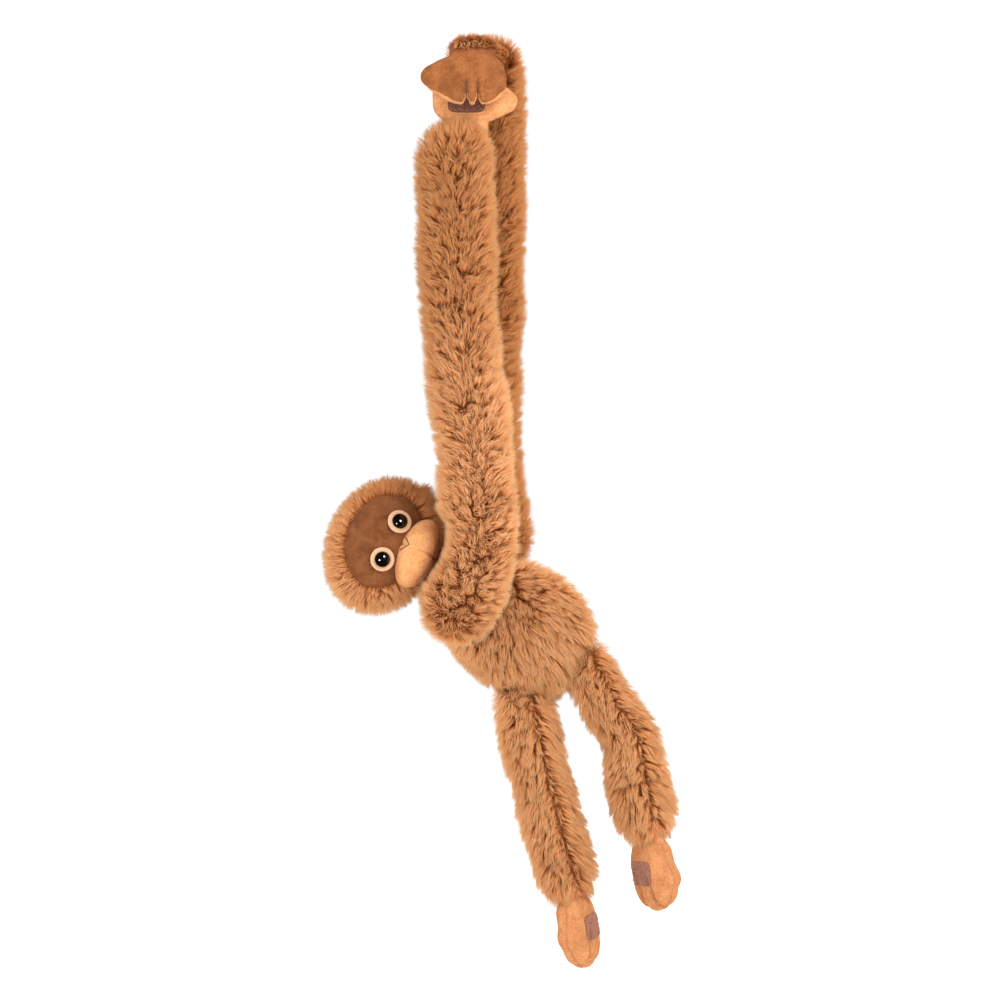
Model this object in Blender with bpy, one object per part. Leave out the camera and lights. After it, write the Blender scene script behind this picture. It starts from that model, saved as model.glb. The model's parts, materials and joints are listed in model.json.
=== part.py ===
"""Hanging plush monkey with long arms, modelled as separate sewn, stuffed and hard pieces.

The toy hangs by its clasped hands: the left wrist folds over a rail, and the left palm is fastened to
the right palm with a hook patch and a loop patch.  Metres, +Z up, the toy faces -Y.  The origin is the
middle of the flat underside of the left wrist, where the rail touches it.  Left and right are the toy's.
"""

import math

import bpy
from mathutils import Matrix, Vector, geometry

# Fabric, thread and clearances
WALL = 0.0013            # backing cloth plus the rooted part of its pile
GAP = 0.0003             # between pieces that touch
SLACK = 0.0016           # between stuffing and cover
THREAD_R = 0.0005
PATCH_T = 0.0015
SEGMENTS = 12

# Limbs: radii of the stuffed tubes
ARM_R = 0.0205
LEG_R = 0.0170
SHOULDER_R = 0.0190
HIP_R = 0.0160
SOCKET_GAP = 0.0006
PINCH_SLOPE = 0.65       # how fast a tube flattens towards its fold line
PINCH_WIDTH = 0.88       # width of the fold line as a share of the tube's width
BEAD_R = 0.0024          # half thickness of the cloth at a fold line
CUFF_GAP = 0.0082        # from a wrist or ankle axis back to the end of its sleeve

# Torso: an egg along the spine
TORSO_C = Vector((0.0205, 0.012, -0.3855))
SPINE = Vector((-0.84, 0.0, 0.54)).normalized()
TORSO_HALF = (0.052, 0.043, 0.031)      # along the spine, across, front to back
NECK_HOLE = 0.30                        # neck opening as a share of the torso's width

# Ends of the swings that the torso leaves room for, in degrees, and the room around the limb
HIP_FORWARD = 85
HIP_BACK = 30
LEFT_SWING = 90
ROOM = 0.0010

# Head: a wide ellipsoid whose face is turned a little towards the left arm
HEAD_C = Vector((-0.071, 0.005, -0.3295))
HEAD_UP = Vector((-0.91, 0.0, 0.41)).normalized()
HEAD_HALF = (0.034, 0.044, 0.032)       # up, across, front to back
HEAD_TURN = math.radians(12)
NECK_REACH = 0.0435                     # head centre to neck pivot
NECK_R = 0.0125
FACE_SPREAD = math.radians(50)          # half angle of the face opening
MUZZLE_DROP = 0.0235
MUZZLE_OUT = 0.0275
MUZZLE_HALF = (0.0118, 0.0230, 0.0160)
EYE_APART = 0.0280
EYE_DROP = 0.0040
EYE_R = 0.0050
EYE_RING_R = 0.0085
EYE_RING_T = 0.0010
DOME_RIM = 0.0008        # height of an eye's rim
DOME_RISE = 0.0026       # height of its dome above the rim
SHANK_R = 0.0014
SHANK_LENGTH = 0.0075
WASHER_R = 0.0050
WASHER_DEPTHS = (-0.0062, -0.0044)
WASHER_POCKET = (0.0056, -0.0085)       # radius and depth of the room around it in the stuffing

# Joint centres
SHOULDER = {"right": Vector((-0.028, -0.015, -0.375)), "left": Vector((0.012, 0.024, -0.332))}
ELBOW = {"right": Vector((-0.019, -0.035, -0.168)), "left": Vector((0.000, 0.027, -0.168))}
WRIST = {"right": Vector((-0.0136, -0.0265, -0.0430)), "left": Vector((-0.0100, -0.0435, -0.0025))}
HIP = {"right": Vector((0.024, 0.010, -0.430)), "left": Vector((0.066, 0.010, -0.408))}
KNEE = {"right": Vector((0.0380, 0.008, -0.498)), "left": Vector((0.098, 0.008, -0.464))}
ANKLE = {"right": Vector((0.0585, 0.008, -0.5695)), "left": Vector((0.111, 0.006, -0.530))}

# The bow of each upper arm between its shoulder and its elbow
ARM_PULLS = {
    "right": (Vector((0.024, -0.056, -0.340)), Vector((-0.022, -0.042, -0.235))),
    "left": (Vector((-0.008, 0.026, -0.296)), Vector((-0.003, 0.027, -0.230))),
}

# The folded left wrist
SEAT_T = 0.0120          # thickness of the fold over the rail
SEAT_HALF = 0.0185       # half width of the fold over the rail
SEAT_TAPER = 0.0015      # how much narrower it gets towards the hand
SEAT_SHIFT = 0.0040      # how far the fold leans to the toy's left of the wrist
SEAT_POWER = 4           # squareness of the flattened sleeve
FOLD_R = 0.0060          # inner radius of the fold
FOLD_RUN = 0.0040        # from the end of the straight sleeve up to where the fold starts

# Half sizes of the sleeves' open ends, along the hinge and across it
WRIST_CUFF = (0.0105, 0.0165)
ANKLE_CUFF = (0.0120, 0.0150)
WRIST_CUFF_X = -0.0210   # middle of the right arm's cuff

# Hands and feet
HAND = dict(length=0.0335, half=0.0245, thick=0.0130, thumb=0.0120, thumb_at=-4, notches=(75, 106))
FOOT = dict(length=0.0510, half=0.0190, thick=0.0210, thumb=0.0060, thumb_at=12, notches=(70, 104))
HAND_PATCH = (0.0125, 0.0095)
FOOT_PATCH = (0.0110, 0.0085)
OUTLINE_POINTS = 28
OUTLINE_POWER = 2.5      # squareness of a palm or a sole
HEEL = 0.0040            # how far a palm or a sole reaches behind its pivot
THUMB_WIDTH = 20         # degrees
NOTCH_DEPTH = 0.0016
NOTCH_WIDTH = 7          # degrees
THUMB_SIDE = {"right": 1, "left": -1}   # which way the thumb points along tips x palm
FOOT_LEAN = {"right": 0.18, "left": 0.15}
FOOT_TURN = {"right": 24, "left": -32}  # degrees from sideways to the front; the sign mirrors the sole

COLOURS = {
    "long_pile": ((0.46, 0.20, 0.070), 0.95),
    "face_velboa": ((0.26, 0.105, 0.040), 0.9),
    "tan_velboa": ((0.66, 0.37, 0.18), 0.9),
    "back_velboa": ((0.42, 0.19, 0.085), 0.9),
    "fibre_fill": ((0.86, 0.86, 0.84), 1.0),
    "eye_black": ((0.010, 0.008, 0.007), 0.08),
    "ring_felt": ((0.70, 0.44, 0.24), 0.95),
    "washer_plastic": ((0.80, 0.80, 0.78), 0.5),
    "patch_loop": ((0.17, 0.075, 0.060), 1.0),
    "thread": ((0.12, 0.050, 0.022), 0.8),
}

AXIS_X = Vector((1, 0, 0))
AXIS_Y = Vector((0, 1, 0))
AXIS_Z = Vector((0, 0, 1))


def clear_scene():
    """Removes every object that is already in the file."""
    for obj in list(bpy.data.objects):
        bpy.data.objects.remove(obj)


def material(name, slot):
    """A Principled material of one slot's colour, for one sub-part."""
    colour, roughness = COLOURS[slot]
    mat = bpy.data.materials.new(name + "_material")
    mat.use_nodes = True
    shader = mat.node_tree.nodes["Principled BSDF"]
    shader.inputs["Base Color"].default_value = (*colour, 1)
    shader.inputs["Roughness"].default_value = roughness
    return mat


def add_object(name, verts, faces, slot, pivot=None, hidden=False):
    """A mesh object whose origin is at the pivot of the body that it belongs to."""
    origin = pivot or Vector((0, 0, 0))
    mesh = bpy.data.meshes.new(name)
    mesh.from_pydata([v - origin for v in verts], [], faces)
    mesh.validate()
    obj = bpy.data.objects.new(name, mesh)
    obj.location = origin
    bpy.context.scene.collection.objects.link(obj)
    if hidden:
        obj.hide_render = True
        obj.display_type = "WIRE"
        return obj
    mesh.materials.append(material(name, slot))
    mesh.shade_smooth()
    mesh.set_sharp_from_angle(angle=math.radians(50))
    return obj


def skin(rings, closed=True):
    """Vertices and faces of a surface through rings of equal length, capped at both ends."""
    count = len(rings[0])
    verts = [p for ring in rings for p in ring]
    faces = []
    for k in range(len(rings) - 1):
        for i in range(count):
            j = (i + 1) % count
            a, b = k * count, (k + 1) * count
            faces.append((a + i, a + j, b + j, b + i))
    if closed:
        last = (len(rings) - 1) * count
        faces.append(tuple(reversed(range(count))))
        faces.append(tuple(last + i for i in range(count)))
    return verts, faces


def ring(centre, side, up, half_side, half_up, power=2.0, count=SEGMENTS):
    """A closed superellipse; its flat edges face along side and up."""
    points = []
    for i in range(count):
        a = 2 * math.pi * (i + 0.5) / count
        c, s = math.cos(a), math.sin(a)
        x = math.copysign(abs(c) ** (2 / power), c) * half_side
        y = math.copysign(abs(s) ** (2 / power), s) * half_up
        points.append(centre + side * x + up * y)
    return points


class Station:
    """One cross-section of a limb: a centre, two directions and two half sizes.

    slope and inward say how an inner layer follows it: how much its half sizes shrink and which way
    its centre moves for each unit of inset.
    """

    def __init__(self, centre, side, up, half_side, half_up, power=2.0, slope=1.0, inward=None):
        self.centre, self.side, self.up = centre, side, up
        self.half_side, self.half_up, self.power = half_side, half_up, power
        self.slope, self.inward = slope, inward or Vector((0, 0, 0))

    def ring(self, inset=0.0):
        least = 0.0003
        a = max(self.half_side - inset * self.slope, least)
        b = max(self.half_up - inset * self.slope, least)
        return ring(self.centre + self.inward * inset, self.side, self.up, a, b, self.power)


def cup(name, stations, slot, pivot):
    """A sewn sleeve: closed at its first station and open at its last."""
    outer = [s.ring() for s in stations]
    inner = [s.ring(WALL) for s in reversed(stations)]
    verts, faces = skin(outer + inner)
    return add_object(name, verts, faces, slot, pivot)


def plug(name, stations, slot, pivot, inset):
    """A solid stuffing that follows a sleeve's stations, inset from them."""
    verts, faces = skin([s.ring(inset) for s in stations])
    return add_object(name, verts, faces, slot, pivot)


def smooth_path(start, pull_a, pull_b, end, count):
    """Points of a cubic curve, with its direction at each."""
    points = geometry.interpolate_bezier(start, pull_a, pull_b, end, count)
    out = []
    for i, p in enumerate(points):
        before, after = points[max(i - 1, 0)], points[min(i + 1, count - 1)]
        out.append((p, (after - before).normalized()))
    return out


def limb_stations(points, hinge, radius, ball_r=None, cuff=None):
    """Stations along a limb, with one cross-section direction along the hinge.

    A limb starts with a ball of ball_r where one is given, and cuff gives the half sizes of its open end.
    """
    lengths = [0.0]
    for (p, _), (q, _) in zip(points, points[1:]):
        lengths.append(lengths[-1] + (q - p).length)
    total = lengths[-1]
    stations = []
    if ball_r:
        start, along = points[0]
        up = along.cross(hinge).normalized()
        for degrees in (15, 40, 65, 90):
            a = math.radians(degrees)
            size, back = ball_r * math.sin(a), along * math.cos(a)
            stations.append(Station(start - back * ball_r, up.cross(along), up, size, size,
                                    slope=math.sin(a), inward=back))
    for (p, along), at in zip(points, lengths):
        if ball_r and at < ball_r * 0.5:
            continue
        up = along.cross(hinge).normalized()
        half_side = half_up = radius
        if ball_r:
            half_side = half_up = ball_r + (radius - ball_r) * min(at / (3.0 * ball_r), 1.0)
        left, reach = total - at, radius * 0.45
        if cuff and left < reach:
            t = math.sqrt(max(1 - (1 - left / reach) ** 2, 0.0))
            half_side = cuff[0] + (half_side - cuff[0]) * t
            half_up = cuff[1] + (half_up - cuff[1]) * t
        stations.append(Station(p, up.cross(along), up, half_side, half_up))
    return stations


def pinch(stations, joint, radius, hinge):
    """Flattens a tube towards the fold line that runs through the joint along the hinge."""
    for s in stations:
        fold = max((s.centre - joint).length * PINCH_SLOPE, BEAD_R)
        if fold < s.half_up:
            s.half_up = fold
            share = min(fold / radius, 1.0)
            s.half_side *= PINCH_WIDTH + (1 - PINCH_WIDTH) * share
            s.side = hinge.lerp(s.side, share).normalized()


def fold_bead(stations, radius):
    """The stations with a rounded edge added before the first, which lies on the fold line."""
    first, second = stations[0], stations[1]
    along = (second.centre - first.centre).normalized()
    edge = Station(first.centre - along * BEAD_R, first.side, first.up,
                   radius * 0.7, BEAD_R * 0.5, inward=along)
    return [edge] + stations


def resample(points, distances):
    """The points of a path at the given distances from its start."""
    out, run = [], 0.0
    targets = list(distances)
    for (p, d), (q, e) in zip(points, points[1:]):
        step = (q - p).length
        while targets and targets[0] <= run + step + 1e-9:
            t = (targets.pop(0) - run) / step
            out.append((p.lerp(q, t), d.lerp(e, t).normalized()))
        run += step
    return out


def path_length(points):
    return sum((q - p).length for (p, _), (q, _) in zip(points, points[1:]))


def fold_distances(total, radius, root, tip, middle):
    """Where stations are needed: close together at folds, cuffs and balls, sparse between."""
    reach = radius / PINCH_SLOPE
    spots = {
        "fold": [0.0, BEAD_R, 0.011, 0.021, reach],
        "open_fold": [BEAD_R + SLACK, 0.011, 0.021, reach],
        "cuff": [0.0, 0.0022, 0.0055, 0.0095],
        "ball": [0.010, 0.022, 0.036, 0.054],
        "short_ball": [0.011, 0.024],
    }
    first = spots[root]
    last = [total - d for d in reversed(spots[tip])]
    gap = (last[0] - first[-1]) / (middle + 1)
    return first + [first[-1] + gap * (i + 1) for i in range(middle)] + last


def arm(side):
    """Upper arm and forearm sleeves and their stuffing, for one side."""
    shoulder, elbow, wrist = SHOULDER[side], ELBOW[side], WRIST[side]
    path = smooth_path(shoulder, *ARM_PULLS[side], elbow, 60)
    spots = fold_distances(path_length(path), ARM_R, "ball", "open_fold", 1)
    stations = limb_stations(resample(path, spots), AXIS_Y, ARM_R, ball_r=SHOULDER_R)
    pinch(stations, elbow, ARM_R, AXIS_Y)
    cup(side + "_upper_arm_cover", stations, "long_pile", shoulder)
    plug(side + "_upper_arm_stuffing", stations[:-1], "fibre_fill", shoulder, WALL + SLACK)

    stations = forearm_stations(side, elbow, wrist)
    cup(side + "_forearm_cover", stations, "long_pile", elbow)
    plug(side + "_forearm_stuffing", stations[2:-2], "fibre_fill", elbow, WALL + SLACK)


def forearm_stations(side, elbow, wrist):
    """A forearm starts at its fold line and ends at its cuff; the left one folds over the rail."""
    if side == "right":
        end = Vector((WRIST_CUFF_X, wrist.y, wrist.z - CUFF_GAP))
        path = smooth_path(elbow, elbow + Vector((0, 0.002, 0.040)),
                           end - Vector((0.002, 0.001, 0.040)), end, 60)
        spots = fold_distances(path_length(path), ARM_R, "fold", "cuff", 1)
        stations = limb_stations(resample(path, spots), AXIS_Y, ARM_R, cuff=WRIST_CUFF)
    else:
        end = Vector((elbow.x, elbow.y, -FOLD_R - FOLD_RUN))
        path = smooth_path(elbow, elbow.lerp(end, 0.35), elbow.lerp(end, 0.7), end, 60)
        spots = fold_distances(path_length(path), ARM_R, "fold", "cuff", 1)
        stations = limb_stations(resample(path, spots[:-3]), AXIS_Y, ARM_R)
        stations += rail_fold_stations(elbow, wrist)
    pinch(stations, elbow, ARM_R, AXIS_Y)
    return fold_bead(stations, ARM_R)


def rail_fold_stations(elbow, wrist):
    """The left sleeve bends forward over the rail and flattens; its underside is flat at z = 0."""
    corner = Vector((0, elbow.y - ARM_R - FOLD_R, -FOLD_R))
    flat_share = math.cos(math.pi / SEGMENTS)
    back_reach = 2 * ARM_R + FOLD_R
    seat_x = wrist.x + SEAT_SHIFT
    stations = []
    for degrees in (0, 18, 36, 54, 72, 90):
        a = math.radians(degrees)
        t = degrees / 90
        out = Vector((0, math.cos(a), math.sin(a)))
        over = (SEAT_T + FOLD_R) / max(math.sin(a), 1e-6)
        reach = (back_reach ** -4 + over ** -4) ** -0.25
        half = (reach - FOLD_R) / 2
        half_side = ARM_R + (SEAT_HALF - ARM_R) * t
        power = 2 + (SEAT_POWER - 2) * t
        share = flat_share ** (2 / power)
        centre = corner + out * (FOLD_R + half * share) + AXIS_X * (elbow.x + seat_x * t)
        stations.append(Station(centre, out, -AXIS_X, half, half_side, power))
    end_y = wrist.y + CUFF_GAP
    half = SEAT_T / 2
    middle_z = half * flat_share ** (2 / SEAT_POWER)
    for t in (0.5, 1.0):
        centre = Vector((seat_x - SEAT_SHIFT * t, corner.y + (end_y - corner.y) * t, middle_z))
        half_side = SEAT_HALF - SEAT_TAPER * t
        stations.append(Station(centre, AXIS_Z, -AXIS_X, half, half_side, SEAT_POWER))
    return stations


def leg(side):
    """Thigh and shin sleeves and their stuffing, for one side."""
    hip, knee, ankle = HIP[side], KNEE[side], ANKLE[side]
    along = (knee - hip).normalized()
    path = [(hip.lerp(knee, i / 40), along) for i in range(41)]
    spots = fold_distances(path_length(path), LEG_R, "short_ball", "open_fold", 0)
    stations = limb_stations(resample(path, spots), AXIS_X, LEG_R, ball_r=HIP_R)
    pinch(stations, knee, LEG_R, AXIS_X)
    cup(side + "_thigh_cover", stations, "long_pile", hip)
    plug(side + "_thigh_stuffing", stations[:-1], "fibre_fill", hip, WALL + SLACK)

    along = (ankle - knee).normalized()
    end = ankle - along * CUFF_GAP
    path = [(knee.lerp(end, i / 40), along) for i in range(41)]
    spots = fold_distances(path_length(path), LEG_R, "fold", "cuff", 0)
    stations = limb_stations(resample(path, spots), AXIS_X, LEG_R, cuff=ANKLE_CUFF)
    pinch(stations, knee, LEG_R, AXIS_X)
    stations = fold_bead(stations, LEG_R)
    cup(side + "_shin_cover", stations, "long_pile", knee)
    plug(side + "_shin_stuffing", stations[2:-2], "fibre_fill", knee, WALL + SLACK)


def mitten_outline(shape, inset=0.0):
    """A palm or sole with a thumb lobe and shallow notches between the fingertips.

    u runs across and v from the pivot to the fingertips.
    """
    half_v = (shape["length"] + HEEL) / 2
    mid_v = shape["length"] - half_v
    points = []
    for i in range(OUTLINE_POINTS):
        degrees = 360 * i / OUTLINE_POINTS
        a = math.radians(degrees)
        c, s = abs(math.cos(a)) / shape["half"], abs(math.sin(a)) / half_v
        r = (c ** OUTLINE_POWER + s ** OUTLINE_POWER) ** (-1 / OUTLINE_POWER)
        off = (degrees - shape["thumb_at"] + 180) % 360 - 180
        r += shape["thumb"] * math.exp(-((off / THUMB_WIDTH) ** 2))
        for notch in shape["notches"]:
            r -= NOTCH_DEPTH * math.exp(-(((degrees - notch) / NOTCH_WIDTH) ** 2))
        points.append(((r - inset) * math.cos(a), mid_v + (r - inset) * math.sin(a)))
    return points


def mitten(prefix, pivot, tips, palm, side_sign, shape, patch_half, names):
    """A hand or a foot: two sewn panels, stuffing, a fastening patch and the stitched finger lines.

    tips points to the fingertips, palm is the outward normal of the palm or sole.
    """
    palm_name, back_name, line_word, back_slot = names
    across = tips.cross(palm).normalized() * side_sign
    half_t = shape["thick"] / 2
    middle = shape["length"] * 0.44

    def at(u, v, n):
        return pivot + across * u + tips * v + palm * n

    def outline(inset, n):
        return [at(u, v, n) for u, v in mitten_outline(shape, inset)]

    def solid(name, rings, sign, slot):
        """A solid through rings; the sign says which way they run round."""
        if sign > 0:
            rings = [list(reversed(r)) for r in rings]
        verts, faces = skin(rings)
        add_object(name, verts, faces, slot, pivot)

    def tray(name, sign, slot):
        """One panel: a shallow dish whose rim is at the side seam."""
        outside = [(0.0030, half_t), (0.0006, half_t - 0.0022), (0.0, GAP / 2)]
        inside = [(inset + WALL, n) for inset, n in outside]
        inside[0] = (inside[0][0], half_t - WALL)
        rings = [outline(inset, sign * n) for inset, n in outside + list(reversed(inside))]
        solid(name, rings, sign * side_sign, slot)

    tray(prefix + palm_name, 1, "tan_velboa")
    tray(prefix + back_name, -1, back_slot)
    depth = half_t - WALL - SLACK
    inset = WALL + SLACK * 2
    solid(prefix + "_stuffing", [outline(inset, depth), outline(inset, -depth)], side_sign, "fibre_fill")

    low = half_t + GAP
    rings = [ring(at(0, middle, n), across, tips, *patch_half, 3.0, 20) for n in (low, low + PATCH_T)]
    solid(prefix + "_patch", rings, -side_sign, "patch_loop")

    depth = -half_t - GAP - THREAD_R
    for k, degrees in enumerate(shape["notches"]):
        u = math.cos(math.radians(degrees)) * shape["length"] / 2
        start = at(u * 0.75, middle + 0.002, depth)
        end = at(u * 0.95, shape["length"] - 0.005, depth)
        thread(f"{prefix}_{line_word}_stitch_{k + 1}", [start, start.lerp(end, 0.5), end], pivot)


def thread(name, points, pivot):
    """A stitched line as one thin closed rod through the points."""
    count = 5
    rings = []
    for i, p in enumerate(points):
        along = (points[min(i + 1, len(points) - 1)] - points[max(i - 1, 0)]).normalized()
        side = along.orthogonal().normalized()
        if rings:
            side = (last_side - along * last_side.dot(along)).normalized()
        last_side = side
        rings.append(ring(p, side, along.cross(side), THREAD_R, THREAD_R, 2.0, count))
    verts, faces = skin(rings)
    return add_object(name, verts, faces, "thread", pivot)


def ball(name, centre, radius, slot="long_pile", hidden=False, pivot=None):
    """A round body, or a cutter of that shape when hidden."""
    return ellipsoid(name, centre, (AXIS_X, AXIS_Y, AXIS_Z), (radius,) * 3, slot, hidden, pivot)


def polar_ring(centre, axes, half, angle, count=16):
    """The ring of an ellipsoid at a polar angle from its third axis."""
    a, b, c = axes
    s = math.sin(angle)
    middle = centre + c * half[2] * math.cos(angle)
    return ring(middle, a, b, half[0] * s, half[1] * s, 2.0, count)


def ellipsoid(name, centre, axes, half, slot, hidden=False, pivot=None, detail=(16, 10)):
    """A closed ellipsoid with its poles on its third axis."""
    count, steps = detail
    rings = []
    for k in range(1, steps):
        rings.append(polar_ring(centre, axes, half, math.pi * (1 - k / steps), count))
    verts, faces = skin(rings)
    return add_object(name, verts, faces, slot, pivot, hidden)


def subtract(obj, cutters):
    """Cuts each cutter from the object."""
    for cutter in cutters:
        mod = obj.modifiers.new("cut_" + cutter.name, "BOOLEAN")
        mod.operation = "DIFFERENCE"
        mod.solver = "EXACT"
        mod.object = cutter


def capsule(name, start, end, radius):
    """A round bar with rounded ends, used as a cutter."""
    along = (end - start).normalized()
    side = along.orthogonal().normalized()
    up = along.cross(side)
    rings = []
    for middle, sign, turns in ((start, -1, (20, 55, 90)), (end, 1, (90, 55, 20))):
        for degrees in turns:
            a = math.radians(degrees)
            size = radius * math.sin(a)
            rings.append(ring(middle + along * sign * radius * math.cos(a), side, up, size, size))
    verts, faces = skin(rings)
    return add_object(name, verts, faces, "long_pile", None, hidden=True)


def right_arm_room():
    """A turned dish around the right shoulder's swing axis: the arm passes in front of the chest."""
    r = SHOULDER_R
    profile = [(0.94, -0.75), (1.05, -0.68), (2.4, 0.0), (3.2, 0.5), (3.2, 3.0)]
    profile = [(a * r, h * r) for a, h in profile]
    return turned("right_arm_room", SHOULDER["right"], -AXIS_Y, profile, "long_pile", None, True, 28)


def left_arm_room():
    """The left arm at rest and at the end of its swing, beside the top of the torso."""
    shoulder = SHOULDER["left"]
    along = (ARM_PULLS["left"][0] - shoulder).normalized() * 3 * SHOULDER_R
    for word, degrees in (("rest", 0), ("swung", LEFT_SWING)):
        swung = Matrix.Rotation(math.radians(degrees), 3, AXIS_Y) @ along
        yield capsule("left_arm_" + word, shoulder, shoulder + swung, ARM_R + ROOM)


def torso(neck):
    """The body sleeve with its five openings, and the stuffing inside."""
    across = Vector((SPINE.z, 0, -SPINE.x))
    forward = SPINE.cross(across)
    axes = (across, forward, SPINE)
    half = (TORSO_HALF[1], TORSO_HALF[2], TORSO_HALF[0])

    def egg(inset, top):
        """Rings from the seat to the top; the chest is narrower than the belly."""
        rings = []
        steps = 11
        for k in range(1, steps):
            angle = math.pi * (1 - k / steps)
            if angle < top:
                break
            chest = 1 - 0.13 * (1 + math.cos(angle)) / 2
            size = (half[0] * chest - inset, half[1] * chest - inset, half[2] - inset)
            rings.append(polar_ring(TORSO_C, axes, size, angle))
        return rings

    outer, inner = egg(0.0, math.asin(NECK_HOLE)), egg(WALL, math.asin(NECK_HOLE))
    neck_socket = ball("neck_socket", neck, NECK_R + SOCKET_GAP, hidden=True)
    cutters = [neck_socket, right_arm_room(), *left_arm_room()]
    for side in ("right", "left"):
        socket_r = SHOULDER_R + SOCKET_GAP
        cutters.append(ball(side + "_shoulder_socket", SHOULDER[side], socket_r, hidden=True))
        hip, along = HIP[side], KNEE[side] - HIP[side]
        for word, degrees in (("front", HIP_FORWARD), ("back", -HIP_BACK), ("rest", 0)):
            swung = Matrix.Rotation(math.radians(degrees), 3, -AXIS_X) @ along
            cutters.append(capsule(f"{side}_thigh_{word}", hip, hip + swung, LEG_R + ROOM))
    verts, faces = skin(outer + list(reversed(inner)))
    cover = add_object("torso_cover", verts, faces, "long_pile")
    verts, faces = skin(egg(WALL + SLACK, 0.1))
    fill = add_object("torso_stuffing", verts, faces, "fibre_fill")
    subtract(cover, cutters)
    subtract(fill, cutters)


def head():
    """The head: hood, face, muzzle, eyes and the neck that joins it to the torso."""
    ahead = Matrix.Rotation(HEAD_TURN, 3, HEAD_UP) @ -AXIS_Y
    across = HEAD_UP.cross(ahead)
    neck = HEAD_C - HEAD_UP * NECK_REACH
    axes = (across, HEAD_UP, ahead)
    half = (HEAD_HALF[1], HEAD_HALF[0], HEAD_HALF[2])

    def shell(inset, angles):
        size = [h - inset for h in half]
        return [polar_ring(HEAD_C, axes, size, a) for a in angles]

    rim = FACE_SPREAD + 0.02
    crown = math.pi - 0.12
    back_angles = [crown + (rim - crown) * k / 9 for k in range(10)]
    verts, faces = skin(shell(0, back_angles) + list(reversed(shell(WALL, back_angles))))
    add_object("head_cover", verts, faces, "long_pile", neck)

    front_angles = [FACE_SPREAD * (1 - k / 5) + 0.04 * (k / 5) for k in range(6)]
    verts, faces = skin(list(reversed(shell(WALL, front_angles))) + shell(0, front_angles))
    face = add_object("face_panel", verts, faces, "face_velboa", neck)
    inner = [h - WALL - SLACK for h in half]
    fill = ellipsoid("head_stuffing", HEAD_C, axes, inner, "fibre_fill", pivot=neck)

    eye_cutters = eyes(axes, half, neck)
    subtract(face, eye_cutters["hole"])
    subtract(fill, eye_cutters["pocket"])

    neck_ball = ball("neck_cover", neck, NECK_R, pivot=neck)
    room_half = (half[0] + ROOM, half[1] + ROOM, half[0] + ROOM)
    room = ellipsoid("head_room", HEAD_C, axes, room_half, "long_pile", True)
    subtract(neck_ball, [room])
    muzzle(axes, neck)
    return neck


def on_head(axes, half, u, v):
    """The point of the head's front at u across and v up, and the outward normal there."""
    a, b, c = axes
    w = half[2] * math.sqrt(1 - (u / half[0]) ** 2 - (v / half[1]) ** 2)
    normal = a * (u / half[0] ** 2) + b * (v / half[1] ** 2) + c * (w / half[2] ** 2)
    return HEAD_C + a * u + b * v + c * w, normal.normalized()


def turned(name, base, normal, profile, slot, pivot, hidden=False, count=12):
    """A turned piece: profile holds (radius, height) along the normal, from below to above."""
    side = normal.orthogonal().normalized()
    up = normal.cross(side)
    rings = [ring(base + normal * h, side, up, r, r, 2.0, count) for r, h in profile]
    verts, faces = skin(rings)
    return add_object(name, verts, faces, slot, pivot, hidden)


def flat_ring(name, base, normal, radii, heights, slot, pivot):
    """A flat ring with a round hole, between two radii and two heights along the normal."""
    side = normal.orthogonal().normalized()
    up = normal.cross(side)
    (inner, outer), (low, high) = radii, heights
    corners = [(inner, low), (outer, low), (outer, high), (inner, high)]
    rings = [ring(base + normal * h, side, up, r, r) for r, h in corners]
    verts, faces = skin(rings + [rings[0]], closed=False)
    count = len(rings) * SEGMENTS
    faces = [tuple(i % count for i in f) for f in faces]
    return add_object(name, verts[:count], faces, slot, pivot)


def eyes(axes, half, neck):
    """Safety eyes: a domed black button whose shank passes a felt ring and the face to a washer."""
    cutters = {"hole": [], "pocket": []}
    felt = (GAP, GAP + EYE_RING_T)
    low = felt[1] + GAP
    dome = [(SHANK_R * 0.8, -SHANK_LENGTH), (SHANK_R, -SHANK_LENGTH + SHANK_R / 3)]
    dome += [(SHANK_R, low), (EYE_R * 0.96, low)]
    for degrees in (0, 25, 50, 72):
        a = math.radians(degrees)
        dome.append((EYE_R * math.cos(a), low + DOME_RIM + DOME_RISE * math.sin(a)))
    hole_r = SHANK_R + GAP
    hole = [(hole_r, -0.006), (hole_r, 0.004)]
    pocket = [WASHER_POCKET, (WASHER_POCKET[0], 0.004)]
    for side, sign in (("left", 1), ("right", -1)):
        base, normal = on_head(axes, half, sign * EYE_APART / 2, -EYE_DROP)
        flat_ring(side + "_eye_ring", base, normal, (hole_r, EYE_RING_R), felt, "ring_felt", neck)
        turned(side + "_eye", base, normal, dome, "eye_black", neck)
        flat_ring(side + "_eye_washer", base, normal, (SHANK_R + GAP / 3, WASHER_R), WASHER_DEPTHS,
                  "washer_plastic", neck)
        cutters["hole"].append(turned(side + "_shank_hole", base, normal, hole, "thread", neck, True))
        cutters["pocket"].append(turned(side + "_washer_pocket", base, normal, pocket, "thread", neck, True))
    return cutters


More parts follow.
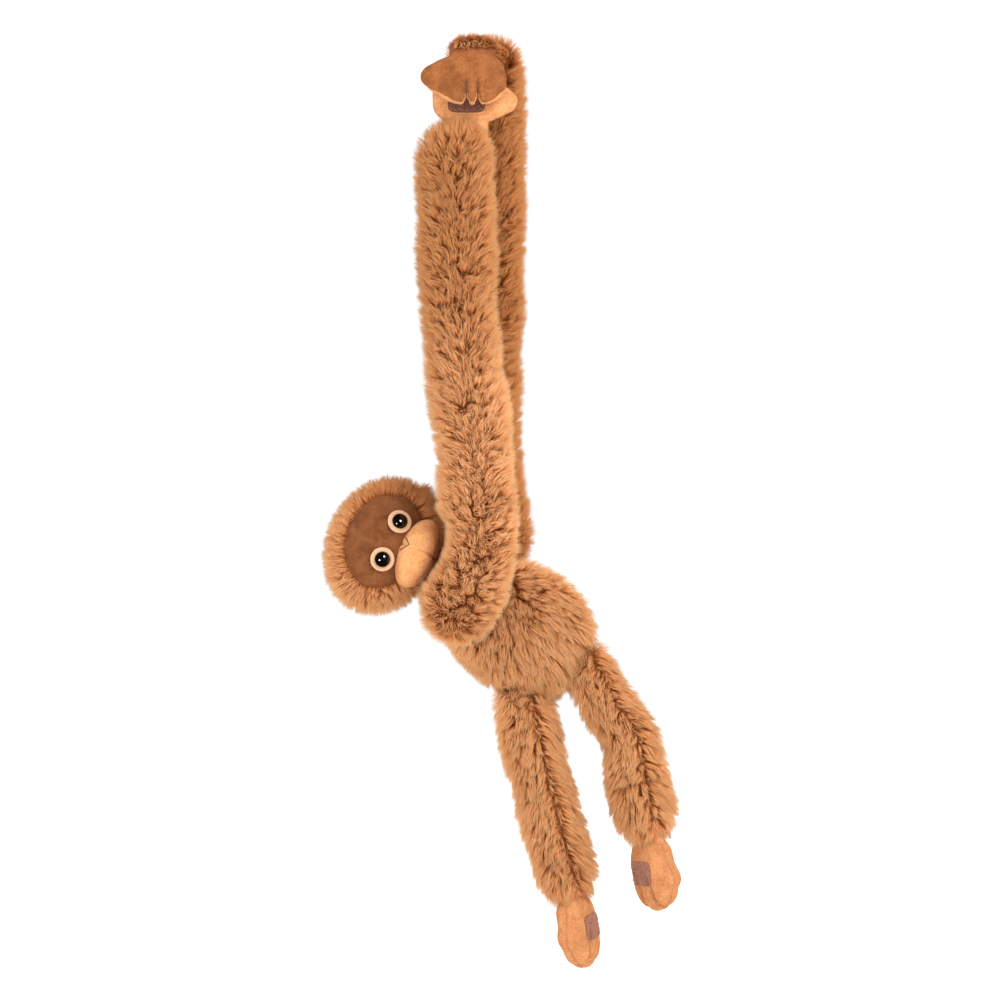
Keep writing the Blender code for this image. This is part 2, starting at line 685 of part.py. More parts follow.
def muzzle(axes, neck):
    """The muzzle: a stuffed oval cup in front of the face, with stitched nostrils and mouth."""
    across, up, ahead = axes
    centre = HEAD_C - up * MUZZLE_DROP + ahead * MUZZLE_OUT
    half = (MUZZLE_HALF[1], MUZZLE_HALF[0], MUZZLE_HALF[2])
    head_half = (HEAD_HALF[1], HEAD_HALF[0], HEAD_HALF[2])
    front, back = 0.15, math.radians(118)
    angles = [front + (back - front) * k / 7 for k in range(8)]

    def shell(inset):
        size = [h - inset for h in half]
        return [polar_ring(centre, axes, size, a) for a in angles]

    verts, faces = skin(shell(WALL) + list(reversed(shell(0))))
    cover = add_object("muzzle_cover", verts, faces, "tan_velboa", neck)
    inner = [h - WALL - SLACK for h in half]
    fill = ellipsoid("muzzle_stuffing", centre, axes, inner, "fibre_fill", pivot=neck)
    room_half = [h + GAP for h in head_half]
    room = ellipsoid("face_room", HEAD_C, axes, room_half, "long_pile", True, detail=(28, 18))
    subtract(cover, [room])
    subtract(fill, [room])

    def on_muzzle(u, v, lift):
        w = half[2] * math.sqrt(1 - (u / half[0]) ** 2 - (v / half[1]) ** 2)
        return centre + across * u + up * v + ahead * (w + lift)

    lift = GAP + THREAD_R * 2
    for side, sign in (("left", 1), ("right", -1)):
        points = [on_muzzle(sign * 0.0012, 0.0068, lift), on_muzzle(sign * 0.0050, 0.0088, lift)]
        thread(side + "_nostril_stitch", points, neck)
    points = [on_muzzle(u * 0.001, -0.0080 + 0.0015 * (u / 12) ** 2, lift) for u in range(-12, 13, 4)]
    thread("mouth_stitch", points, neck)


def extremities():
    """Both hands and both feet."""
    palms = {"right": (AXIS_Z, -AXIS_Y), "left": (-AXIS_Z, AXIS_Y)}
    for side, (tips, palm) in palms.items():
        names = ("_palm", "_back", "finger", "back_velboa")
        mitten(side + "_hand", WRIST[side], tips, palm, THUMB_SIDE[side], HAND, HAND_PATCH, names)
        tips = Vector((FOOT_LEAN[side], 0, -1)).normalized()
        turn = math.radians(FOOT_TURN[side])
        sole = Vector((math.cos(turn), -math.sin(turn), 0)) * THUMB_SIDE[side]
        sole = (sole - tips * sole.dot(tips)).normalized()
        names = ("_sole", "_top", "toe", "tan_velboa")
        mitten(side + "_foot", ANKLE[side], tips, sole, THUMB_SIDE[side], FOOT, FOOT_PATCH, names)


def main():
    clear_scene()
    neck = head()
    torso(neck)
    for side in ("right", "left"):
        arm(side)
        leg(side)
    extremities()


main()
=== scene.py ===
"""Looks of the hanging plush monkey: fur, short-pile fabric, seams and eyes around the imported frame.

The long pile is real geometry: closed tapered strands gathered into locks, rooted on smooth skins that
follow the frame's sleeves.  Hands, feet and muzzle are sewn pads, inflated as cloth.
"""

import math

import bmesh
import bpy
import numpy as np
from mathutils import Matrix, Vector, kdtree, noise
from mathutils.bvhtree import BVHTree
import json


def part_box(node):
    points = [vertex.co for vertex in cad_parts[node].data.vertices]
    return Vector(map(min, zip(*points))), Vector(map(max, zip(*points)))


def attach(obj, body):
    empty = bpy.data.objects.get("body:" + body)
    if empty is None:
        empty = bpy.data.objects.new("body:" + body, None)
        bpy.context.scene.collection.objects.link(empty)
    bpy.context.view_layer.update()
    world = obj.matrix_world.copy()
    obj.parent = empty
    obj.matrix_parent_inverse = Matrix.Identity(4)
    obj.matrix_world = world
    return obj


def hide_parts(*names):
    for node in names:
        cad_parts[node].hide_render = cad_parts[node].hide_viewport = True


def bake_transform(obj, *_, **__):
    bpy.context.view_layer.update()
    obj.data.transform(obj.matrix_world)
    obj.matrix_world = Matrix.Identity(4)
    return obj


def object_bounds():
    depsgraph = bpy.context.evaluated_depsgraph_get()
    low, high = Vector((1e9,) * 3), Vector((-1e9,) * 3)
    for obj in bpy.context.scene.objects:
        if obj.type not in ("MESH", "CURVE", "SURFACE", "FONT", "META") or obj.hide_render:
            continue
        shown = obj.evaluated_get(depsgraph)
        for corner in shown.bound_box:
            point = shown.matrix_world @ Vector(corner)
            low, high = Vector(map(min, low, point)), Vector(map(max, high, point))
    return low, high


MM = 0.001
RNG = np.random.default_rng(7)

# Long pile: sizes in metres, density per square millimetre
STRAND_WIDTH = 0.00041
STRANDS_PER_MM2 = 1.65
LOCK_SIZE = 0.0036
MAX_STRANDS = 19500           # in one piece
TINTS = 32                    # columns of strand colour
TINT_PATCH = 0.022            # size of the lighter and darker areas of the pile
LOOPS_PER_MM2 = 1.5           # in the fastening patches
LEFT_ARM_PAINTED_SHADE = 0.12          # painted shade: the left arm's pile tint is scaled by this
RIGHT_FOREARM_PAINTED_SHADE = 0.60   # painted shade: the right arm's pile grows darker by this share above the elbow
CROWN_PAINTED_SHADE = 0.60           # and so does the top of the hood, also painted shade
LOW_TINT = 0.38               # the lowest tint of ordinary pile, from 0 (dark) to 1 (light)

SECTION_STEP = 0.004          # between the sections of a sleeve

# Length of the pile, root to tip
PILE = {"arm": 0.0135, "over_rail": 0.0062, "under_rail": 0.0030, "wrist": 0.0072,
        "leg": 0.0145, "torso": 0.0150, "neck": 0.0115, "hood": 0.0105}

# Half lengths of the zones round the elbows and knees, and of the fur pieces that span them
ELBOW_ZONE = 0.024
ELBOW_FUR = 0.030
KNEE_ZONE = 0.020
KNEE_FUR = 0.026

# The mouth line: how far below the muzzle's middle, and how much it curves
MOUTH_DROP = 0.76
MOUTH_BEND = 6.0

# The felt ring round an eye, in shares of its radius and height
RING_PROFILE = ((0.98, -2.6), (1.0, -1.0), (0.995, 0.6), (0.975, 1.0), (0.93, 1.2), (0.70, 1.15),
                (0.62, 0.9), (0.2, 0.8))

RAIL_R = 0.0060               # room that the left wrist's fold leaves for the rail

# The camera: straight in front, and what it shows in heights of the toy
CAMERA_X = 0.0088
CAMERA_LIFT = 0.0062
VIEW_HEIGHTS = 1.0759
LENS = 100

# How deep the skins lie under the frame's covers, because the fur fills the rest
ARM_INSET = 0.0035
LEG_INSET = 0.0030
TORSO_INSET = 0.0035
HEAD_INSET = 0.0035

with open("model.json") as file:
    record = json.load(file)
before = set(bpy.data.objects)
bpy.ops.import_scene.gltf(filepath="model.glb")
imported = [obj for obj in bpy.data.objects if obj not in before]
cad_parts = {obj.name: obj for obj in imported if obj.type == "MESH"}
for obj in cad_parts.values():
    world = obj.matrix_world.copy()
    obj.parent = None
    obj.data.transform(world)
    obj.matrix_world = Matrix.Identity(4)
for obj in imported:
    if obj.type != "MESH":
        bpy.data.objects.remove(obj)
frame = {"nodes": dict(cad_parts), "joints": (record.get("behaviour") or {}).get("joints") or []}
cad_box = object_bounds()
SIDES = ("right", "left")
X_AXIS = np.array([1.0, 0, 0])


# -------------------- frame


def joint(name):
    return next(j for j in frame["joints"] if j["name"] == name)


def pivot(name):
    return np.array(joint(name)["pos_m"], float)


def hinge(name):
    return unit(np.array(joint(name)["axis"], float))


def unit(v):
    v = np.asarray(v, float)
    return v / np.maximum(np.linalg.norm(v, axis=-1, keepdims=True), 1e-12)


def points_of(*names):
    """The vertices of CAD nodes."""
    return np.concatenate([read(frame["nodes"][n].data.vertices, "co") for n in names])


def middle_of(*names):
    points = points_of(*names)
    return (points.min(0) + points.max(0)) / 2


class Cutter:
    """Cuts plane sections through a CAD node."""

    def __init__(self, name):
        mesh = frame["nodes"][name].data
        self.edges = read(mesh.vertices, "co")[read(mesh.edges, "vertices", 2, np.int32)]

    def cut(self, point, normal):
        """(centre, half size along X, half size across it) of the section, or None."""
        height = (self.edges - point) @ normal
        hit = height[:, 0] * height[:, 1] < 0
        if not hit.any():
            return None
        share = (height[hit, 0] / (height[hit, 0] - height[hit, 1]))[:, None]
        found = self.edges[hit, 0] * (1 - share) + self.edges[hit, 1] * share
        up = np.cross(normal, X_AXIS)
        a, b = (found - point) @ X_AXIS, (found - point) @ up
        centre = point + X_AXIS * (a.min() + a.max()) / 2 + up * (b.min() + b.max()) / 2
        return centre, np.ptp(a) / 2, np.ptp(b) / 2

    def cuts(self, planes):
        """The sections at those (point, normal) planes that meet the node."""
        return [hit for hit in (self.cut(*plane) for plane in planes) if hit]


# -------------------- meshes


def read(collection, field, width=3, kind=np.float32):
    """A field of a mesh's elements, one row of numbers for each."""
    values = np.empty(len(collection) * width, kind)
    collection.foreach_get(field, values)
    return values.reshape(-1, width).astype(float if kind == np.float32 else int)


def surface(mesh):
    """A mesh's points and their normals."""
    return read(mesh.vertices, "co"), read(mesh.vertices, "normal")


def in_plane(u, v, height=0.0):
    """Local points from two coordinates and one height."""
    return np.stack([u, v, np.full(len(u), height)], 1)


def set_points(obj, points):
    obj.data.vertices.foreach_set("co", points.astype(np.float32).ravel())
    obj.data.update()


def mesh_of_copies(name, verts, corners, sizes):
    """A mesh of like bodies.

    verts holds the points of each body; corners (the flat list of face corners) and sizes (each
    face's corner count) are those of one body.
    """
    count, each = verts.shape[:2]
    verts = verts.reshape(-1, 3)
    corners = (corners[None] + np.arange(count)[:, None] * each).ravel()
    sizes = np.tile(sizes, count)
    mesh = bpy.data.meshes.new(name)
    mesh.vertices.add(len(verts))
    mesh.vertices.foreach_set("co", verts.astype(np.float32).ravel())
    mesh.loops.add(len(corners))
    mesh.loops.foreach_set("vertex_index", corners.astype(np.int32))
    mesh.polygons.add(len(sizes))
    starts = np.concatenate([[0], np.cumsum(sizes)[:-1]])
    mesh.polygons.foreach_set("loop_start", starts.astype(np.int32))
    mesh.update(calc_edges=True)
    return mesh


def link(name, data):
    obj = bpy.data.objects.new(name, data)
    bpy.context.scene.collection.objects.link(obj)
    return obj


def circles(a, b, angles):
    """For each pair of axes, points at the given angles on a circle of radius 1."""
    return a[:, None] * np.cos(angles)[:, None] + b[:, None] * np.sin(angles)[:, None]


def place(name, mesh, *materials):
    """Links a smooth-shaded object with its materials."""
    obj = link(name, mesh)
    for mat in materials:
        mesh.materials.append(mat)
    mesh.shade_smooth()
    return obj


def settle(obj, body, slot, *nodes):
    """Makes a piece ride on a body and lets it stand for CAD nodes; its slot, the fabric's name, is not
    used.
    """
    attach(obj, body)
    if nodes:
        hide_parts(*nodes)


def loft(name, rings, material):
    """A closed body through rings of equal length, with a pole at each end."""
    rings = np.asarray(rings, float)
    rows, count = rings.shape[:2]
    verts = np.concatenate([rings.reshape(-1, 3), rings[:1].mean(1), rings[-1:].mean(1)])
    first, last = rows * count, rows * count + 1
    faces = []
    for i in range(count):
        j = (i + 1) % count
        faces.append((first, j, i))
        for k in range(rows - 1):
            a, b = k * count, (k + 1) * count
            faces.append((a + i, a + j, b + j, b + i))
        faces.append((last, (rows - 1) * count + i, (rows - 1) * count + j))
    mesh = bpy.data.meshes.new(name)
    mesh.from_pydata(verts.tolist(), [], faces)
    face_out(mesh)
    return place(name, mesh, material)


def face_out(mesh):
    """Turns a closed mesh's faces outward."""
    bm = bmesh.new()
    bm.from_mesh(mesh)
    bmesh.ops.recalc_face_normals(bm, faces=bm.faces)
    if bm.calc_volume(signed=True) < 0:
        bmesh.ops.reverse_faces(bm, faces=bm.faces)
    bm.to_mesh(mesh)
    bm.free()


def signed_volume(mesh):
    bm = bmesh.new()
    bm.from_mesh(mesh)
    volume = bm.calc_volume(signed=True)
    bm.free()
    return volume


def oval(centre, side, up, half_side, half_up, power=2.0, count=32):
    """A superellipse ring."""
    a = np.arange(count) * 2 * math.pi / count
    c, s = np.cos(a), np.sin(a)
    x = np.sign(c) * np.abs(c) ** (2 / power) * half_side
    y = np.sign(s) * np.abs(s) ** (2 / power) * half_up
    return centre + np.outer(x, side) + np.outer(y, up)


def soft_noise(points):
    return np.array([noise.noise(Vector(p)) for p in points])


def roughen(obj, size, depth, seed):
    """Moves the surface in and out by soft noise, as stuffing does."""
    co, normal = surface(obj.data)
    shift = soft_noise(co / size + seed) * depth
    set_points(obj, co + normal * shift[:, None])


# -------------------- materials


class Nodes:
    """A material's node tree, with a short way to add nodes."""

    def __init__(self, name):
        self.material = bpy.data.materials.new(name)
        self.material.use_nodes = True
        self.tree = self.material.node_tree
        self.shader = self.tree.nodes["Principled BSDF"]

    def add(self, kind, **settings):
        node = self.tree.nodes.new("ShaderNode" + kind)
        for key, value in settings.items():
            if key in node.inputs:
                node.inputs[key].default_value = value
            else:
                setattr(node, key, value)
        return node

    def feed(self, value, socket):
        """Links an output to a socket, or sets the socket's own value."""
        if isinstance(value, bpy.types.NodeSocket):
            self.tree.links.new(value, socket)
        else:
            socket.default_value = value

    def ramp(self, factor, stops):
        """A colour ramp; stops are (position, colour)."""
        node = self.add("ValToRGB")
        for k, (at, colour) in enumerate(stops):
            stop = node.color_ramp.elements[k] if k < 2 else node.color_ramp.elements.new(at)
            stop.position = at
            stop.color = (*colour, 1)
        self.feed(factor, node.inputs[0])
        return node.outputs[0]

    def mix(self, kind, factor, a, b):
        """Blends two colours; factor may be a number or an output."""
        node = self.add("Mix", data_type="RGBA", blend_type=kind)
        for socket, value in ((0, factor), (6, a), (7, b)):
            self.feed(value, node.inputs[socket])
        return node.outputs[2]

    def noise(self, size, detail=3.0, roughness=0.55):
        """Noise whose features measure size metres, in the object's own space."""
        node = self.add("TexNoise", Scale=1 / size, Detail=detail, Roughness=roughness)
        self.feed(self.add("TexCoord").outputs["Object"], node.inputs["Vector"])
        return node.outputs["Fac"]

    def span(self, *values):
        """Maps a value from one range to another: value, low, high, new low, new high."""
        node = self.add("MapRange")
        for value, socket in zip(values, node.inputs):
            self.feed(value, socket)
        return node.outputs[0]

    def bump(self, height, depth, strength=1.0):
        node = self.add("Bump", Distance=depth, Strength=strength)
        self.feed(height, node.inputs["Height"])
        self.feed(node.outputs[0], self.shader.inputs["Normal"])

    def finish(self, colour, roughness, **values):
        for name, value in {"Base Color": colour, "Roughness": roughness, **values}.items():
            self.feed(value, self.shader.inputs[name.replace("_", " ")])
        return self.material


def fur_material(name, root, body, tip, dark, light):
    """Strand colour from root to tip, and from strand to strand; the darker roots are partly painted
    shade deep in the pile.
    """
    n = Nodes(name)
    uv = n.add("UVMap", uv_map="OFBake")
    split = n.add("SeparateXYZ")
    n.feed(uv.outputs[0], split.inputs[0])
    along = n.ramp(split.outputs[1], ((0.0, root), (1.0, tip), (0.5, body)))
    tint = n.ramp(split.outputs[0], ((0.0, dark), (1.0, light)))
    colour = n.mix("MULTIPLY", 1.0, along, tint)
    rough = n.span(split.outputs[1], 0.0, 1.0, 0.95, 0.62)
    return n.finish(colour, rough, Specular_IOR_Level=0.15)


def backing_material(name, colour):
    """Knitted backing under the pile."""
    n = Nodes(name)
    knit = n.noise(0.0008)
    wide = n.noise(0.012)
    low = tuple(c * 0.6 for c in colour)
    base = n.ramp(knit, ((0.35, low), (0.7, colour)))
    base = n.mix("MULTIPLY", 0.5, base, n.ramp(wide, ((0.3, (0.6, 0.6, 0.6)), (0.7, (1, 1, 1)))))
    n.bump(knit, 0.0004)
    return n.finish(base, n.span(knit, 0.3, 0.7, 1.0, 0.9), Specular_IOR_Level=0.1)


def velboa_material(name, colour, dark):
    """Short-pile plush: fine grain, and lighter and darker strokes where the nap turns."""
    n = Nodes(name)
    grain = n.noise(0.00045, 2.0, 0.7)
    nap = n.noise(0.0016, 2.0, 0.6)
    stroke = n.noise(0.009, 2.0, 0.5)
    wide = n.ramp(stroke, ((0.32, dark), (0.68, colour)))
    fine = n.ramp(grain, ((0.25, (0.72, 0.68, 0.66)), (0.75, (1.12, 1.12, 1.12))))
    base = n.mix("MULTIPLY", 0.75, wide, fine)
    soft = n.ramp(nap, ((0.3, (0.74, 0.68, 0.64)), (0.68, (1.1, 1.1, 1.1))))
    base = n.mix("MULTIPLY", 0.8, base, soft)
    n.bump(n.mix("ADD", 1.0, grain, nap), 0.0006, 0.8)
    rough = n.span(stroke, 0.3, 0.7, 0.95, 0.8)
    return n.finish(base, rough, Specular_IOR_Level=0.1, Sheen_Weight=0.08, Sheen_Roughness=0.5,
                    Sheen_Tint=(1.0, 0.70, 0.42, 1.0))


def felt_material(name, colour):
    n = Nodes(name)
    grain = n.noise(0.0005, 4.0, 0.7)
    base = n.ramp(grain, ((0.3, tuple(c * 0.82 for c in colour)), (0.7, colour)))
    n.bump(grain, 0.0002, 0.6)
    return n.finish(base, n.span(grain, 0.3, 0.7, 1.0, 0.85), Specular_IOR_Level=0.2, Sheen_Weight=0.2)


def eye_material(name):
    """Polished plastic, almost black, with a brown ring deep inside and faint handling marks."""
    n = Nodes(name)
    cloud = n.noise(0.003, 2.0)
    base = n.ramp(cloud, ((0.3, (0.002, 0.0015, 0.0015)), (0.8, (0.008, 0.004, 0.003))))
    marks = n.noise(0.0006, 3.0)
    return n.finish(base, n.span(marks, 0.4, 0.7, 0.03, 0.08), Specular_IOR_Level=0.5)


def thread_material(name, colour):
    """Twisted polyester thread."""
    n = Nodes(name)
    twist = n.noise(0.0003, 2.0)
    base = n.ramp(twist, ((0.3, tuple(c * 0.5 for c in colour)), (0.7, colour)))
    n.bump(twist, 0.0001)
    return n.finish(base, n.span(twist, 0.3, 0.7, 0.8, 0.55))


LONG_FUR = fur_material("long_fur", (0.50, 0.175, 0.050), (0.93, 0.41, 0.150), (1.0, 0.64, 0.33),
                        (0.613, 0.452, 0.290), (1.0, 1.0, 1.0))
BACKING = backing_material("fur_backing", (0.58, 0.215, 0.070))
FACE = velboa_material("face_velboa", (0.25, 0.090, 0.030), (0.16, 0.052, 0.017))
PALM = velboa_material("palm_velboa", (0.80, 0.38, 0.160), (0.66, 0.285, 0.105))
SOLE = velboa_material("sole_velboa", (0.68, 0.30, 0.125), (0.55, 0.22, 0.082))
TAN = velboa_material("tan_velboa", (0.88, 0.45, 0.195), (0.74, 0.33, 0.125))
BACK = velboa_material("back_velboa", (0.38, 0.135, 0.042), (0.25, 0.083, 0.024))
FELT = felt_material("ring_felt", (0.66, 0.39, 0.22))
EYE = eye_material("eye_black")
# The hand patch's tape and loops are darker than the foot patch's, partly painted shade
HAND_TAPE = felt_material("hand_patch_tape", (0.14, 0.052, 0.032))
HAND_LOOP = felt_material("hand_patch_loop", (0.34, 0.140, 0.085))
FOOT_TAPE = felt_material("foot_patch_tape", (0.27, 0.105, 0.062))
FOOT_LOOP = felt_material("foot_patch_loop", (0.48, 0.210, 0.125))
THREAD = thread_material("sewing_thread", (0.16, 0.060, 0.024))
TAN_THREAD = thread_material("tan_thread", (0.50, 0.22, 0.085))


# -------------------- strands


def scatter(mesh, per_mm2):
    """Evenly spread random points on a mesh, with its smooth normals there."""
    mesh.calc_loop_triangles()
    corners = read(mesh.loop_triangles, "vertices", 3, np.int32)
    co, normal = surface(mesh)
    a, b, c = (co[corners[:, k]] for k in range(3))
    area = np.cumsum(np.linalg.norm(np.cross(b - a, c - a), axis=1) / 2)
    count = int(area[-1] * 1e6 * per_mm2)
    at = (np.arange(count) + RNG.random(count)) / count * area[-1]
    tri = np.minimum(np.searchsorted(area, at), len(corners) - 1)
    r, s = np.sqrt(RNG.random(count)), RNG.random(count)
    weights = np.stack([1 - r, r * (1 - s), r * s], 1)[:, :, None]
    where = (co[corners[tri]] * weights).sum(1)
    facing = unit((normal[corners[tri]] * weights).sum(1))
    return where, facing


def nearest(points, centres):
    """The index of the nearest centre for each point."""
    tree = kdtree.KDTree(len(centres))
    for k, c in enumerate(centres):
        tree.insert(c, k)
    tree.balance()
    return np.array([tree.find(p)[1] for p in points])


def tangent(vectors, normals):
    return vectors - normals * (vectors * normals).sum(1, keepdims=True)


def strand_shape(roots, normals, flow, length, wild):
    """Middle and tip points of strands that rise from the skin and then lean along the flow.

    flow holds the lean's direction and strength; wild is how far each strand or lock strays from it.
    """
    stray = tangent(RNG.normal(size=roots.shape), normals) * wild
    lean = tangent(flow, normals) + stray
    length = length * RNG.uniform(0.82, 1.12, len(roots))
    rise = unit(normals + lean * 0.45)
    lie = unit(normals * 0.75 + lean * 1.15)
    mid = roots + rise * (length * 0.5)[:, None]
    return mid, mid + lie * (length * 0.55)[:, None]


def strands(roots, normals, flow, length, order, wild=0.45, gather=0.62, lock=LOCK_SIZE):
    """Corner points (root, middle, tip), widths and tints of strands gathered into locks.

    order tells where along the body part each strand stands.
    """
    area = len(roots) / (STRANDS_PER_MM2 * 1e6)
    heads = RNG.choice(len(roots), max(int(area / (lock * lock * 0.75)), 2), replace=False)
    owner = nearest(roots, roots[heads])
    mid, tip = strand_shape(roots, normals, flow, length, wild * 0.45)
    lock_mid, lock_tip = strand_shape(roots[heads], normals[heads], flow[heads], length[heads], wild)
    pull = (gather * RNG.uniform(0.6, 1.1, len(roots)))[:, None]
    tip = tip + (lock_tip[owner] - tip) * pull
    mid = mid + (lock_mid[owner] - mid) * pull * 0.42
    wide = soft_noise(roots[heads] / TINT_PATCH)
    lock_tint = np.clip(RNG.random(len(heads)) * 0.6 + 0.2 + wide * 0.7, 0, 1)
    tint = np.clip(lock_tint[owner] * 0.55 + RNG.random(len(roots)) * 0.45, 0, 0.999)
    tint = LOW_TINT + (1 - LOW_TINT) * tint
    widths = STRAND_WIDTH * RNG.uniform(0.75, 1.2, len(roots))
    return dict(root=roots - normals * 0.0006, mid=mid, tip=tip, width=widths, tint=tint, order=order)


RING = np.arange(3) * 2 * math.pi / 3
# Corners of one strand: root cap, three lower sides, three upper sides
STRAND_CORNERS = np.array([2, 1, 0, 0, 1, 4, 3, 1, 2, 5, 4, 2, 0, 3, 5, 3, 4, 6, 4, 5, 6, 5, 3, 6])
STRAND_SIZES = np.array([3, 4, 4, 4, 3, 3, 3])
STRAND_U = np.array([0.1, 0.5, 0.9, 0.1, 0.5, 0.9, 0.5])
STRAND_V = np.array([0.0, 0.0, 0.0, 0.5, 0.5, 0.5, 1.0])


def strand_mesh(name, s):
    """Closed three-sided strands; u is the tint and v runs from root to tip."""
    along = unit(s["tip"] - s["root"])
    a = unit(np.cross(along, unit(RNG.normal(size=along.shape))))
    b = np.cross(along, a)
    around = circles(a, b, RING)
    half = (s["width"] / 2)[:, None, None]
    verts = np.concatenate([s["root"][:, None] + around * half,
                            s["mid"][:, None] + around * half * 0.85,
                            s["tip"][:, None]], axis=1)
    mesh = mesh_of_copies(name, verts, STRAND_CORNERS, STRAND_SIZES)
    column = np.floor(s["tint"] * TINTS)[:, None]
    u = (column + STRAND_U[STRAND_CORNERS][None]) / TINTS
    v = np.broadcast_to(STRAND_V[STRAND_CORNERS][None], u.shape)
    layer = mesh.uv_layers.new(name="OFBake")
    layer.data.foreach_set("uv", np.stack([u, v], -1).astype(np.float32).ravel())
    return mesh


def fur(name, s, *bodies):
    """Strands as pieces of at most MAX_STRANDS, sorted by their order before they are split.
    """
    count = len(s["tint"])
    rank = np.argsort(s["order"], kind="stable")
    parts = np.array_split(rank, max(1, math.ceil(count / MAX_STRANDS)))
    for k, part in enumerate(parts):
        piece = {key: values[part] for key, values in s.items()}
        label = name if len(parts) == 1 else f"{name}_{k + 1}"
        obj = place(label, strand_mesh(label, piece), LONG_FUR)
        (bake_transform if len(bodies) > 1 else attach)(obj, *bodies)


# -------------------- limbs


def smoothed(values, reach):
    """A running mean that keeps the ends."""
    out = values.copy()
    for _ in range(reach):
        out[1:-1] = (out[:-2] + out[1:-1] * 2 + out[2:]) / 4
    return out


def straight_sections(cutter, start, end):
    """Section centres and half sizes between two points."""
    count = max(int(np.linalg.norm(end - start) / SECTION_STEP), 2)
    along = unit(end - start)
    return cutter.cuts((start + (end - start) * k / count, along) for k in range(1, count))


def rail_sections(cutter, elbow):
    """Sections of the left sleeve where it bends forward over the rail, about the rail's own line."""
    straight = cutter.cut(np.array([elbow[0], elbow[1], -0.03]), np.array([0, 0, 1.0]))
    corner = np.array([0, straight[0][1] - straight[2] - RAIL_R, -RAIL_R])
    turns = np.radians(range(10, 90, 10))
    found = cutter.cuts((corner, np.array([0, -math.sin(a), math.cos(a)])) for a in turns)
    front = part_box("left_forearm_cover")[0].y
    places = np.linspace(corner[1], front + 0.001, 6)
    ahead = np.array([0, -1.0, 0])
    return found + cutter.cuts((np.array([0, y, 0.005]), ahead) for y in places), corner


def limb(name, bodies, joints, onward, zone, sections, inset):
    """A smooth sleeve through the limb's sections, across its two bodies, ready for its fur.

    The folds that the frame needs at its joint are filled out to the limb's own thickness.  Returns
    the bending zone, and the strands' middles on the centre line, roots, normals, places along the
    limb and directions.
    """
    root, bend = joints
    centre = np.array([s[0] for s in sections])
    half = np.array([s[1:] for s in sections])
    gap = np.linalg.norm(centre - bend, axis=1)
    near = gap < 0.040
    typical = np.median(half[~near], axis=0)
    half[near] = np.maximum(half[near], typical)
    centre = smoothed(centre, 6)
    half = smoothed(half, 3) - inset
    along = unit(np.gradient(centre, axis=0))
    side = unit(X_AXIS - along * (along @ X_AXIS)[:, None])
    up = np.cross(along, side)
    rings = []
    for a in np.radians((20, 45, 70)):
        back = centre[0] - along[0] * half[0, 1] * math.cos(a)
        rings.append(oval(back, side[0], up[0], *(half[0] * math.sin(a))))
    for k in range(len(centre)):
        flat = min(half[k]) / max(half[k])
        rings.append(oval(centre[k], side[k], up[k], *half[k], power=2.0 + 1.6 * max(0.8 - flat, 0)))
    for a in np.radians((60, 30, 12)):
        front = centre[-1] + along[-1] * 0.003 * math.cos(a)
        rings.append(oval(front, side[-1], up[-1], *(half[-1] * math.sin(a))))
    skin = loft(name, rings, BACKING)
    roughen(skin, 0.035, 0.0022, root[0] * 100)
    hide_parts(*(f"{body}_{node}" for body in bodies for node in ("cover", "stuffing")))
    ends = bend - onward * zone, bend + onward * zone
    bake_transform(skin)
    roots, normals = scatter(skin.data, STRANDS_PER_MM2)
    at = nearest(roots, centre)
    run = np.concatenate([[0], np.cumsum(np.linalg.norm(np.diff(centre, axis=0), axis=1))])
    return ends, centre[at], roots, normals, run[at], along[at]


def limb_fur(name, words, s, height, reach, bodies, bend):
    """A limb's fur in three parts: on its first body, across the joint, and on its second body."""
    fur(f"{name}_{words[0]}", only(s, height < -reach), bodies[0])
    fur(f"{name}_{words[1]}", only(s, np.abs(height) <= reach), *bodies, *bend)
    fur(f"{name}_{words[2]}", only(s, height > reach), bodies[1])


def arm(side):
    """One arm's skin and fur, the fur in three pieces about the elbow."""
    upper, fore = side + "_upper_arm", side + "_forearm"
    shoulder, elbow, wrist = (pivot(f"{side}_{j}") for j in ("shoulder", "elbow", "wrist"))
    sections = straight_sections(Cutter(upper + "_cover"), shoulder, elbow)
    forearm = Cutter(fore + "_cover")
    corner = None
    if side == "left":
        top = np.array([elbow[0], elbow[1], -RAIL_R])
        sections += straight_sections(forearm, elbow, top)
        over, corner = rail_sections(forearm, elbow)
        sections += over
    else:
        sections += straight_sections(forearm, elbow, wrist)
    onward = unit(wrist - elbow if side == "right" else np.array([0, 0, 1.0]))
    bend, _, roots, normals, place_along, direction = limb(
        side + "_arm_skin", (upper, fore), (shoulder, elbow), onward, ELBOW_ZONE, sections, ARM_INSET)
    length = np.full(len(roots), PILE["arm"])
    flow = direction * 0.45
    if corner is not None:
        beneath = (normals[:, 2] < -0.3) & (roots[:, 2] > -0.004) & (roots[:, 1] < corner[1] + 0.012)
        length[beneath] = PILE["under_rail"]
        over_rail = (roots[:, 2] > -0.004) & (roots[:, 1] < corner[1] + 0.010) & ~beneath
        length[over_rail] = PILE["over_rail"]
        flow[over_rail] *= 2.4
    s = strands(roots, normals, flow, length, place_along, wild=0.50, gather=0.46, lock=0.0044)
    if side == "left":
        # painted shade: the left arm's pile is darkened
        s["tint"] *= LEFT_ARM_PAINTED_SHADE
    else:
        # painted shade: the right arm's pile grows darker from below the elbow upwards
        above = np.clip((s["root"][:, 2] - elbow[2] + 0.060) / 0.080, 0, 1)
        s["tint"] *= 1 - RIGHT_FOREARM_PAINTED_SHADE * above
    s = off_muzzle(s)
    height = (s["root"] - elbow) @ onward
    limb_fur(f"{side}_arm_fur", ("upper", "elbow", "fore"), s, height, ELBOW_FUR, (upper, fore), bend)


